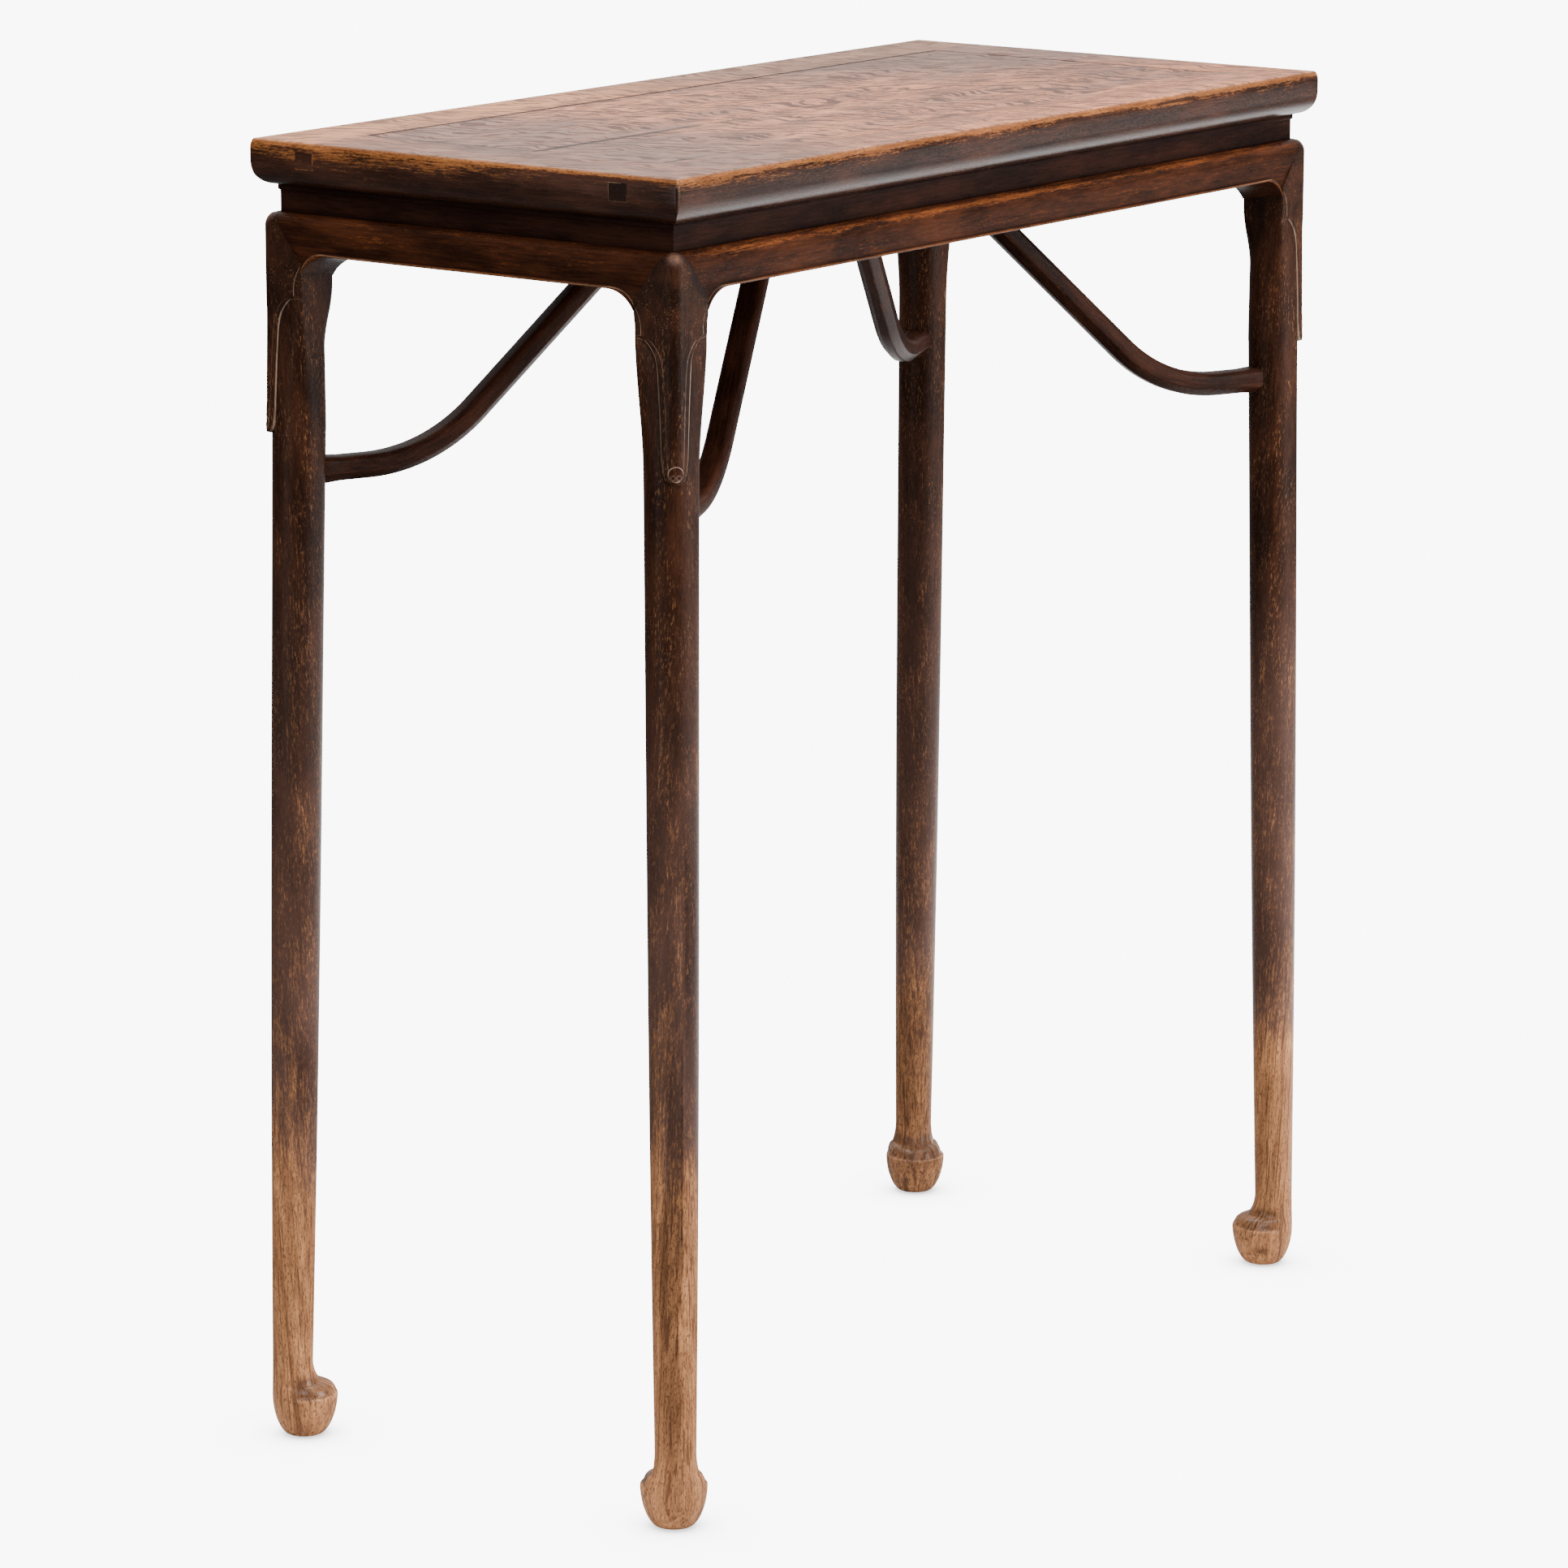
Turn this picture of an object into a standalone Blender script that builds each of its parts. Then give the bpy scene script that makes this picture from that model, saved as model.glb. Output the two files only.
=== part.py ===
"""Offering table: a tall, narrow table in dark hardwood, joined without metal.

A mitred frame holds a floating panel of two boards. Under it come a recessed waist, four aprons that
are mitred to the leg heads, and four round legs with inward hoof feet. A curved brace runs from each
leg up to a batten under the panel. Lengths are in metres, +Z is up, the long side lies along X, the
front is at -Y, and the origin is on the floor under the middle of the top.
"""
from math import atan2, cos, pi, radians, sin, sqrt

import bmesh
import bpy
from mathutils import Matrix, Vector

# Whole table
TOP_LENGTH = 0.756
TOP_DEPTH = 0.348
TABLE_HEIGHT = 0.880
CLEARANCE = 0.0003

# Top frame
RAIL_WIDTH = 0.054
RAIL_THICKNESS = 0.030
EDGE_EASE_WIDTH = 0.004
EDGE_EASE_HEIGHT = 0.009
EDGE_BAND_HEIGHT = 0.005
EDGE_UNDERCUT_WIDTH = 0.012
FRAME_TENON_WIDTH = 0.018
FRAME_TENON_INSET = 0.001
TENON_WALL = 0.0015

# Panel and battens
PANEL_THICKNESS = 0.012
PANEL_TONGUE_THICKNESS = 0.004
PANEL_TONGUE_LENGTH = 0.0065
PANEL_TONGUE_DROP = 0.0035
BOARD_JOINT_Y = -0.017
BATTEN_SPACING = 0.144
BATTEN_WIDTH = 0.028
DOVETAIL_WIDTH = 0.018
DOVETAIL_HEIGHT = 0.0035
DOVETAIL_FLARE = 0.002
BATTEN_TENON_WIDTH = 0.014
BATTEN_TENON_HEIGHT = 0.007
BATTEN_TENON_LENGTH = 0.010

# Waist
WAIST_INSET = 0.0144
WAIST_THICKNESS = 0.008
WAIST_HEIGHT = 0.018
WAIST_TONGUE_THICKNESS = 0.003
WAIST_TONGUE_LENGTH = 0.003

# Aprons
APRON_INSET = 0.0046
APRON_THICKNESS = 0.018
APRON_HEIGHT = 0.0255
SHOULDER_DEPTH = 0.008
SHOULDER_HEIGHT = 0.009
WAIST_REBATE = 0.006
BEAD_HEIGHT = 0.0022
BEAD_RELIEF = 0.0006
FACE_HOLLOW = 0.0010
SPANDREL_FOOT = 0.022
SPANDREL_WIDTH = 0.032
SPANDREL_HEIGHT = 0.030
MITRE_FOOT = 0.036
APRON_TENON_THICKNESS = 0.005
APRON_TENON_HEIGHT = 0.011
APRON_TENON_LENGTH = 0.010

# Legs
LEG_HEAD = 0.034
HEAD_CORNER_RADIUS = 0.0095
HEAD_EDGE_RADIUS = 0.001
LEAF_LENGTH = 0.1165
LEAF_STEP_HEIGHT = 0.0015
SHAFT_TOP_RADIUS = 0.0174
SHAFT_ANKLE_RADIUS = 0.0131
SHAFT_TOP_INSET = 0.02135
SHAFT_FLOOR_INSET = 0.0111
HOOF_RADIUS = 0.0215
HOOF_SOLE_RADIUS = 0.0105
HOOF_RIM_HEIGHT = 0.027
HOOF_LEDGE_HEIGHT = 0.0355
HOOF_LEDGE_RADIUS = 0.0175
NECK_HEIGHT = 0.052
POST_MARGIN = 0.0006
LEG_TENON_SIDE = 0.006

# Braces
BRACE_DROP = 0.1895
BRACE_WIDTH = 0.017
BRACE_DEPTH = 0.0165
BRACE_LOWER_CHAMFER = 0.005
BRACE_UPPER_CHAMFER = 0.003
BRACE_FOOT_RUN = 0.050
BRACE_BEND_RADIUS = 0.122
BRACE_HEAD_SLOPE = radians(20)
BRACE_HEAD_OVERRUN = 0.013
BRACE_TENON_DEPTH = 0.014
BRACE_TENON_WIDTH = 0.008
BRACE_TENON_HEIGHT = 0.008
BRACE_TENON_HOOK = 0.002
WEDGE_THICKNESS = 0.004
PIN_RADIUS = 0.003
PIN_DEPTH = 0.010
PIN_PROUD = 0.0005

# How finely round shapes are cut
CORNER_POINTS = 6
EDGE_STEPS = 5
SPANDREL_STEPS = 4
BEND_STEPS = 8
PIN_SIDES = 12

# Heights and insets that follow from the sizes above
FRAME_UNDERSIDE = TABLE_HEIGHT - RAIL_THICKNESS
PANEL_UNDERSIDE = TABLE_HEIGHT - PANEL_THICKNESS
GROOVE_TOP = TABLE_HEIGHT - PANEL_TONGUE_DROP + CLEARANCE
GROOVE_BOTTOM = TABLE_HEIGHT - PANEL_TONGUE_DROP - PANEL_TONGUE_THICKNESS - CLEARANCE
FRAME_TENON_TOP = GROOVE_BOTTOM - TENON_WALL
FRAME_TENON_BOTTOM = FRAME_TENON_TOP - (FRAME_TENON_TOP - FRAME_UNDERSIDE) * 0.48
LONG_LEG_TENON = (FRAME_TENON_BOTTOM - FRAME_UNDERSIDE) * 0.8
SHORT_LEG_TENON = (FRAME_TENON_BOTTOM - FRAME_UNDERSIDE) * 0.55
APRON_TOP = FRAME_UNDERSIDE - WAIST_HEIGHT
APRON_BOTTOM = APRON_TOP - APRON_HEIGHT
WAIST_SEAT = APRON_TOP - WAIST_REBATE
APRON_LIP = WAIST_INSET - APRON_INSET - 2 * CLEARANCE
POST_INSET = WAIST_INSET + WAIST_THICKNESS + CLEARANCE
HEAD_INNER = APRON_INSET + LEG_HEAD
LEAF_TIP = APRON_BOTTOM - LEAF_LENGTH
SPANDREL_BASE = APRON_BOTTOM - SPANDREL_HEIGHT
BRACE_HEIGHT = FRAME_UNDERSIDE - BRACE_DROP
BATTEN_X = BATTEN_SPACING / 2
MITRE_GAP = CLEARANCE / sqrt(2)

# Finishes: base colour and roughness
FINISHES = {
    "top_frame": ((0.26, 0.13, 0.08), 0.35),
    "panel": ((0.33, 0.19, 0.14), 0.35),
    "batten": ((0.20, 0.12, 0.07), 0.70),
    "waist": ((0.035, 0.020, 0.016), 0.45),
    "apron": ((0.075, 0.032, 0.018), 0.40),
    "leg": ((0.16, 0.080, 0.045), 0.45),
    "brace": ((0.025, 0.014, 0.011), 0.45),
    "joint_wood": ((0.36, 0.23, 0.13), 0.75),
}

SIDES = {
    "front": (0.0, TOP_LENGTH, TOP_DEPTH),
    "right": (pi / 2, TOP_DEPTH, TOP_LENGTH),
    "back": (pi, TOP_LENGTH, TOP_DEPTH),
    "left": (-pi / 2, TOP_DEPTH, TOP_LENGTH),
}
CORNERS = {
    "front_left": (-1, -1),
    "front_right": (1, -1),
    "back_left": (-1, 1),
    "back_right": (1, 1),
}


def clear_scene():
    for item in list(bpy.data.objects):
        bpy.data.objects.remove(item, do_unlink=True)


def new_collection(name):
    collection = bpy.data.collections.new(name)
    bpy.context.scene.collection.children.link(collection)
    return collection


def new_finish(name, finish):
    colour, roughness = FINISHES[finish]
    material = bpy.data.materials.new(name)
    material.use_nodes = True
    shader = material.node_tree.nodes["Principled BSDF"]
    shader.inputs["Base Color"].default_value = (*colour, 1.0)
    shader.inputs["Roughness"].default_value = roughness
    shader.inputs["Metallic"].default_value = 0.0
    return material


# Mesh makers

def box(low, high):
    shape = bmesh.new()
    bmesh.ops.create_cube(shape, size=1.0)
    size = [b - a for a, b in zip(low, high)]
    middle = [(a + b) / 2 for a, b in zip(low, high)]
    bmesh.ops.scale(shape, vec=size, verts=shape.verts)
    bmesh.ops.translate(shape, vec=middle, verts=shape.verts)
    return shape


def cylinder(centre, radius, bottom, top):
    shape = bmesh.new()
    bmesh.ops.create_cone(
        shape, cap_ends=True, segments=PIN_SIDES, radius1=radius, radius2=radius, depth=top - bottom)
    bmesh.ops.translate(shape, vec=(centre[0], centre[1], (bottom + top) / 2), verts=shape.verts)
    return shape


def loft(rings):
    """A closed solid through rings of equally many points."""
    shape = bmesh.new()
    rows = [[shape.verts.new(point) for point in ring] for ring in rings]
    for below, above in zip(rows, rows[1:]):
        for i in range(len(below)):
            j = (i + 1) % len(below)
            shape.faces.new((below[i], below[j], above[j], above[i]))
    shape.faces.new(list(reversed(rows[0])))
    shape.faces.new(rows[-1])
    bmesh.ops.recalc_face_normals(shape, faces=shape.faces)
    return shape


def upright_prism(outline, heights):
    """A solid with one outline in plan between two heights."""
    return loft([[(x, y, z) for x, y in outline] for z in heights])


# Objects and joints

class Workshop:
    """Makes the pieces and the hidden shapes that cut or extend them."""

    def __init__(self):
        self.pieces = new_collection("offering_table")
        self.cutters = new_collection("joint_cutters")
        self.root = bpy.data.objects.new("table_origin", None)
        self.pieces.objects.link(self.root)

    def piece(self, name, shape, finish, place=None):
        mesh = bpy.data.meshes.new(name)
        shape.to_mesh(mesh)
        shape.free()
        mesh.shade_smooth()
        mesh.set_sharp_from_angle(angle=radians(35))
        mesh.materials.append(new_finish(name, finish))
        item = bpy.data.objects.new(name, mesh)
        self.pieces.objects.link(item)
        item.parent = self.root
        if place:
            item.matrix_local = place
        return item

    def guide(self, name, shape, place=None):
        mesh = bpy.data.meshes.new(name)
        shape.to_mesh(mesh)
        shape.free()
        item = bpy.data.objects.new(name, mesh)
        item.hide_render = True
        item.display_type = "WIRE"
        self.cutters.objects.link(item)
        if place:
            item.matrix_local = place
        return item

    def combine(self, item, operation, name, shape, place=None):
        modifier = item.modifiers.new(name, "BOOLEAN")
        modifier.operation = operation
        modifier.solver = "EXACT"
        modifier.object = self.guide(f"{item.name}_{name}", shape, place)

    def cut(self, item, name, shape, place=None):
        self.combine(item, "DIFFERENCE", name, shape, place)

    def add(self, item, name, shape, place=None):
        self.combine(item, "UNION", name, shape, place)


# Along a side of the table: u runs along the side, v is the inset from the outer edge of the top

def side_place(side):
    angle, _, span = SIDES[side]
    turn = Matrix.Rotation(angle, 4, "Z")
    return turn @ Matrix.Translation((0, -span / 2, 0))


def mitred_bar(side, outline, gap):
    """A bar of one section whose ends are cut at 45 degrees in plan; outline holds (inset, height)."""
    length = SIDES[side][1]
    rings = []
    for end in (-1, 1):
        rings.append([(end * (length / 2 - inset - gap), inset, z) for inset, z in outline])
    return loft(rings)


def quarter_ellipse(centre, width, height, start, steps):
    """Points of a quarter turn from the angle start, anticlockwise."""
    points = []
    for i in range(steps + 1):
        angle = start + pi / 2 * i / steps
        points.append((centre[0] + width * cos(angle), centre[1] + height * sin(angle)))
    return points


# Top frame

def rail_section():
    band_top = TABLE_HEIGHT - EDGE_EASE_HEIGHT
    band_bottom = band_top - EDGE_BAND_HEIGHT
    undercut_height = band_bottom - FRAME_UNDERSIDE
    ease = quarter_ellipse(
        (EDGE_EASE_WIDTH, band_top), EDGE_EASE_WIDTH, EDGE_EASE_HEIGHT, pi / 2, EDGE_STEPS)
    undercut = quarter_ellipse(
        (EDGE_UNDERCUT_WIDTH, band_bottom), EDGE_UNDERCUT_WIDTH, undercut_height, pi, EDGE_STEPS)
    tongue = waist_tongue()
    slot_top = FRAME_UNDERSIDE + WAIST_TONGUE_LENGTH + CLEARANCE
    waist_slot = [
        (tongue[0] - CLEARANCE, FRAME_UNDERSIDE),
        (tongue[0] - CLEARANCE, slot_top),
        (tongue[1] + CLEARANCE, slot_top),
        (tongue[1] + CLEARANCE, FRAME_UNDERSIDE),
    ]
    groove_floor = RAIL_WIDTH - PANEL_TONGUE_LENGTH - CLEARANCE
    panel_groove = [
        (RAIL_WIDTH, FRAME_UNDERSIDE),
        (RAIL_WIDTH, GROOVE_BOTTOM),
        (groove_floor, GROOVE_BOTTOM),
        (groove_floor, GROOVE_TOP),
        (RAIL_WIDTH, GROOVE_TOP),
        (RAIL_WIDTH, TABLE_HEIGHT),
    ]
    return ease + undercut + waist_slot + panel_groove


def frame_tenon(side, end, slack):
    """The through tenon of a long rail, in that rail's frame, or its mortise with some slack."""
    half = SIDES[side][1] / 2
    inner = RAIL_WIDTH - FRAME_TENON_INSET
    root = half - inner - FRAME_TENON_WIDTH / 2
    tip = half + slack if slack else half - CLEARANCE
    near, far = sorted((end * root, end * tip))
    low = (near, inner - FRAME_TENON_WIDTH - slack, FRAME_TENON_BOTTOM - slack)
    high = (far, inner + slack, FRAME_TENON_TOP + slack)
    return box(low, high)


def batten_tenon(x, y_sign, slack):
    inner = TOP_DEPTH / 2 - RAIL_WIDTH
    reach = inner + BATTEN_TENON_LENGTH + slack
    root = inner - BATTEN_TENON_LENGTH
    middle = (FRAME_UNDERSIDE + PANEL_UNDERSIDE) / 2
    half_width = BATTEN_TENON_WIDTH / 2 + slack
    half_height = BATTEN_TENON_HEIGHT / 2 + slack
    near, far = sorted((y_sign * root, y_sign * reach))
    return box((x - half_width, near, middle - half_height), (x + half_width, far, middle + half_height))


def make_top_frame(shop):
    for side in SIDES:
        rail = shop.piece(
            f"top_rail_{side}", mitred_bar(side, rail_section(), MITRE_GAP), "top_frame", side_place(side))
        if side in ("front", "back"):
            for end, word in ((-1, "start"), (1, "finish")):
                shop.add(rail, f"tenon_{word}", frame_tenon(side, end, 0.0), side_place(side))
            for x, word in ((-BATTEN_X, "left"), (BATTEN_X, "right")):
                y_sign = -1 if side == "front" else 1
                shop.cut(rail, f"batten_mortise_{word}", batten_tenon(x, y_sign, CLEARANCE))
        else:
            outward = -1 if side == "left" else 1
            for long_side in ("front", "back"):
                end = outward if long_side == "front" else -outward
                mortise = frame_tenon(long_side, end, CLEARANCE)
                shop.cut(rail, f"mortise_{long_side}", mortise, side_place(long_side))
        for corner, (x_sign, y_sign) in CORNERS.items():
            if side in corner.split("_"):
                shop.cut(rail, f"leg_mortise_{corner}", leg_top_tenon(x_sign, y_sign, side, CLEARANCE))


# Panel and battens

def make_panel(shop):
    """Two boards with a tongue along every outer edge, left by rebates above and below it."""
    half_length = TOP_LENGTH / 2 - RAIL_WIDTH - CLEARANCE
    half_depth = TOP_DEPTH / 2 - RAIL_WIDTH - CLEARANCE
    tongue_top = TABLE_HEIGHT - PANEL_TONGUE_DROP
    tongue_bottom = tongue_top - PANEL_TONGUE_THICKNESS
    reach = half_length + PANEL_TONGUE_LENGTH
    for word, y_sign in (("front", -1), ("back", 1)):
        joint = BOARD_JOINT_Y + y_sign * CLEARANCE / 2
        edge = y_sign * (half_depth + PANEL_TONGUE_LENGTH)
        low_y, high_y = sorted((joint, edge))
        blank = box((-reach, low_y, PANEL_UNDERSIDE), (reach, high_y, TABLE_HEIGHT))
        board = shop.piece(f"panel_board_{word}", blank, "panel")
        over = y_sign * RAIL_WIDTH
        rebate = [
            (-reach - RAIL_WIDTH, joint - over),
            (-reach - RAIL_WIDTH, edge + over),
            (reach + RAIL_WIDTH, edge + over),
            (reach + RAIL_WIDTH, joint - over),
            (half_length, joint - over),
            (half_length, y_sign * half_depth),
            (-half_length, y_sign * half_depth),
            (-half_length, joint - over),
        ]
        above = (tongue_top, TABLE_HEIGHT + PANEL_THICKNESS)
        below = (PANEL_UNDERSIDE - PANEL_THICKNESS, tongue_bottom)
        shop.cut(board, "rebate_above", upright_prism(rebate, above))
        shop.cut(board, "rebate_below", upright_prism(rebate, below))
        for x, name in ((-BATTEN_X, "left"), (BATTEN_X, "right")):
            shop.cut(board, f"dovetail_slot_{name}", dovetail(x, TOP_DEPTH, CLEARANCE))


def dovetail(x, length, slack):
    """The ridge along a batten's upper face, or its slot with some slack; it is wider at the top."""
    top = PANEL_UNDERSIDE + DOVETAIL_HEIGHT + slack
    bottom = PANEL_UNDERSIDE - DOVETAIL_HEIGHT
    upper = DOVETAIL_WIDTH / 2 + slack
    lower = upper - DOVETAIL_FLARE * (top - bottom) / DOVETAIL_HEIGHT
    outline = [(-lower, bottom), (lower, bottom), (upper, top), (-upper, top)]
    return loft([[(x + u, end * length / 2, z) for u, z in outline] for end in (-1, 1)])


def make_battens(shop):
    half = TOP_DEPTH / 2 - RAIL_WIDTH - CLEARANCE
    for x, word in ((-BATTEN_X, "left"), (BATTEN_X, "right")):
        low = (x - BATTEN_WIDTH / 2, -half, FRAME_UNDERSIDE)
        high = (x + BATTEN_WIDTH / 2, half, PANEL_UNDERSIDE - CLEARANCE)
        batten = shop.piece(f"batten_{word}", box(low, high), "batten")
        shop.add(batten, "dovetail", dovetail(x, 2 * half, 0.0))
        for y_sign, name in ((-1, "front"), (1, "back")):
            shop.add(batten, f"tenon_{name}", batten_tenon(x, y_sign, 0.0))
            corner = (-1 if x < 0 else 1, y_sign)
            shop.cut(batten, f"pin_hole_{name}", brace_pin(*corner, CLEARANCE))


# Waist

def waist_tongue():
    middle = WAIST_INSET + WAIST_THICKNESS / 2
    return middle - WAIST_TONGUE_THICKNESS / 2, middle + WAIST_TONGUE_THICKNESS / 2


def make_waist(shop):
    face = WAIST_INSET
    back = WAIST_INSET + WAIST_THICKNESS - CLEARANCE
    top = FRAME_UNDERSIDE - CLEARANCE
    tongue = waist_tongue()
    tongue_top = FRAME_UNDERSIDE + WAIST_TONGUE_LENGTH
    section = [
        (face, WAIST_SEAT + CLEARANCE),
        (back, WAIST_SEAT + CLEARANCE),
        (back, top),
        (tongue[1], top),
        (tongue[1], tongue_top),
        (tongue[0], tongue_top),
        (tongue[0], top),
        (face, top),
    ]
    for side in SIDES:
        shop.piece(f"waist_{side}", mitred_bar(side, section, MITRE_GAP), "waist", side_place(side))


# Aprons

def shoulder(z):
    """How far the rounded shoulder of apron and leg head has drawn in at a height."""
    rise = max(0.0, z - APRON_TOP + SHOULDER_HEIGHT) / SHOULDER_HEIGHT
    return SHOULDER_DEPTH * (1 - sqrt(max(0.0, 1 - rise * rise)))


def spandrel_height(p):
    """Lower edge of the apron at a distance p from the corner of the apron faces."""
    reach = SPANDREL_FOOT + SPANDREL_WIDTH - p
    if reach <= 0:
        return APRON_BOTTOM
    share = min(1.0, reach / SPANDREL_WIDTH)
    return SPANDREL_BASE + SPANDREL_HEIGHT * sqrt(1 - share * share)


def spandrel_reach(z):
    """Distance from the corner of the apron faces to the spandrel at a height."""
    share = min(1.0, max(0.0, (z - SPANDREL_BASE) / SPANDREL_HEIGHT))
    return SPANDREL_FOOT + SPANDREL_WIDTH * (1 - sqrt(1 - share * share))


MITRE_HEAD = APRON_LIP + 4 * CLEARANCE
MITRE_SLOPE = (MITRE_FOOT - MITRE_HEAD) / (APRON_TOP - spandrel_height(MITRE_FOOT))


def mitre_reach(z, gap):
    """Distance from the corner to the mitre between apron and leg head at a height."""
    return MITRE_HEAD + MITRE_SLOPE * (APRON_TOP - z) + gap * sqrt(1 + MITRE_SLOPE * MITRE_SLOPE)


def apron_section():
    """Points of (depth behind the face, height over the lower edge, whether they follow that edge)."""
    bulge_top = APRON_HEIGHT - SHOULDER_HEIGHT
    points = [
        (APRON_THICKNESS, 0.0, True),
        (BEAD_RELIEF, 0.0, True),
        (0.0, BEAD_HEIGHT / 3, True),
        (0.0, BEAD_HEIGHT * 2 / 3, True),
        (FACE_HOLLOW, BEAD_HEIGHT, True),
        (FACE_HOLLOW / 3, (BEAD_HEIGHT + bulge_top) / 2, False),
        (0.0, bulge_top, False),
    ]
    for i in range(1, EDGE_STEPS + 1):
        height = bulge_top + SHOULDER_HEIGHT * sin(pi / 2 * i / EDGE_STEPS)
        points.append((shoulder(APRON_BOTTOM + height), height, False))
    points += [
        (APRON_LIP, APRON_HEIGHT, False),
        (APRON_LIP, APRON_HEIGHT - WAIST_REBATE, False),
        (APRON_THICKNESS, APRON_HEIGHT - WAIST_REBATE, False),
    ]
    return points


def apron_end(height, follows):
    """Where a line along the apron meets the mitre, as a distance from the corner."""
    if not follows:
        return mitre_reach(APRON_BOTTOM + height, CLEARANCE)
    p = MITRE_FOOT
    for _ in range(60):
        p += 0.5 * (mitre_reach(spandrel_height(p) + height, CLEARANCE) - p)
    return p


def apron_shape(side):
    half = SIDES[side][1] / 2 - APRON_INSET
    spring = SPANDREL_FOOT + SPANDREL_WIDTH
    section = apron_section()
    stations = []
    for step in range(SPANDREL_STEPS + 1):
        ring = []
        for depth, height, follows in section:
            start = apron_end(height, follows)
            p = start + (spring - start) * step / SPANDREL_STEPS
            z = (spandrel_height(p) if follows else APRON_BOTTOM) + height
            ring.append((p - half, APRON_INSET + depth, z))
        stations.append(ring)
    mirrored = [[(-u, v, z) for u, v, z in ring] for ring in reversed(stations)]
    return loft(stations + mirrored)


def apron_tenon(side, end, slack):
    """The stub tenon behind an apron's mitre, in that side's frame, or its mortise with some slack."""
    half = SIDES[side][1] / 2 - APRON_INSET
    depth = APRON_INSET + (APRON_LIP + APRON_THICKNESS) / 2
    height = (APRON_BOTTOM + WAIST_SEAT) / 2
    tip = half - LEG_HEAD + APRON_TENON_LENGTH + slack
    root = half - LEG_HEAD - APRON_TENON_LENGTH
    half_thickness = APRON_TENON_THICKNESS / 2 + slack
    half_height = APRON_TENON_HEIGHT / 2 + slack
    near, far = sorted((end * root, end * tip))
    low = (near, depth - half_thickness, height - half_height)
    high = (far, depth + half_thickness, height + half_height)
    return box(low, high)


def make_aprons(shop):
    for side in SIDES:
        place = side_place(side)
        half = SIDES[side][1] / 2 - APRON_INSET
        apron = shop.piece(f"apron_{side}", apron_shape(side), "apron", place)
        for end, word in ((-1, "start"), (1, "finish")):
            near, far = sorted((end * (half - LEG_HEAD - CLEARANCE), end * half))
            low = (near, APRON_INSET + APRON_LIP - CLEARANCE, SPANDREL_BASE)
            high = (far, APRON_INSET + 2 * APRON_THICKNESS, TABLE_HEIGHT)
            shop.cut(apron, f"leg_seat_{word}", box(low, high), place)
            shop.add(apron, f"tenon_{word}", apron_tenon(side, end, 0.0), place)


# Legs: every point of a leg is (inset from the end edge, inset from the long edge, height)

def leg_place(x_sign, y_sign):
    return Matrix.Translation((x_sign * TOP_LENGTH / 2, y_sign * TOP_DEPTH / 2, 0))


def leg_box(x_sign, y_sign, x_range, y_range, z_range):
    xs = sorted(x_sign * (TOP_LENGTH / 2 - inset) for inset in x_range)
    ys = sorted(y_sign * (TOP_DEPTH / 2 - inset) for inset in y_range)
    return box((xs[0], ys[0], z_range[0]), (xs[1], ys[1], z_range[1]))


def mix(a, b, share):
    return a + (b - a) * share


def shaft_inset(z):
    return mix(SHAFT_FLOOR_INSET, SHAFT_TOP_INSET, z / LEAF_TIP)


def shaft_radius(z):
    return mix(SHAFT_ANKLE_RADIUS, SHAFT_TOP_RADIUS, max(0.0, z - NECK_HEIGHT) / (LEAF_TIP - NECK_HEIGHT))


def rounded_ring(low, high, radii, z):
    """A square with four corner radii: outer corner, end-side corner, inner corner, long-side corner."""
    corners = ((low, low, pi), (high, low, 1.5 * pi), (high, high, 0.0), (low, high, 0.5 * pi))
    ring = []
    for (x, y, start), radius in zip(corners, radii):
        centre_x = x + radius if x == low else x - radius
        centre_y = y + radius if y == low else y - radius
        for i in range(CORNER_POINTS):
            angle = start + pi / 2 * (i + 0.5) / CORNER_POINTS
            ring.append((centre_x + radius * cos(angle), centre_y + radius * sin(angle), z))
    return ring


def round_ring(inset, radius, z):
    return rounded_ring(inset - radius, inset + radius, [radius] * 4, z)


def hoof_radius(z):
    """Bowl below the rim, rounded shoulder up to the ledge, hollow neck above it."""
    if z <= HOOF_RIM_HEIGHT:
        rise = 1 - (1 - z / HOOF_RIM_HEIGHT) ** 1.6
        return mix(HOOF_SOLE_RADIUS, HOOF_RADIUS, rise ** 0.625)
    if z <= HOOF_LEDGE_HEIGHT:
        rise = (z - HOOF_RIM_HEIGHT) / (HOOF_LEDGE_HEIGHT - HOOF_RIM_HEIGHT)
        return mix(HOOF_LEDGE_RADIUS, HOOF_RADIUS, sqrt(1 - rise * rise))
    fall = (NECK_HEIGHT - z) / (NECK_HEIGHT - HOOF_LEDGE_HEIGHT)
    return mix(shaft_radius(z), HOOF_LEDGE_RADIUS, fall ** 2.5)


def hoof_rings():
    bowl = [HOOF_RIM_HEIGHT * share for share in (0.0, 0.04, 0.15, 0.35, 0.65, 1.0)]
    rise = HOOF_LEDGE_HEIGHT - HOOF_RIM_HEIGHT
    round_over = [HOOF_RIM_HEIGHT + rise * share for share in (0.5, 0.85, 1.0)]
    neck = [mix(HOOF_LEDGE_HEIGHT, NECK_HEIGHT, share) for share in (0.15, 0.4, 0.7, 1.0)]
    for z in bowl + round_over + neck:
        radius = hoof_radius(z)
        widest = HOOF_RADIUS if z < HOOF_RIM_HEIGHT else radius
        shift = (widest - shaft_radius(z)) / sqrt(2)
        yield round_ring(shaft_inset(z) + shift, radius, z)


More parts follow.
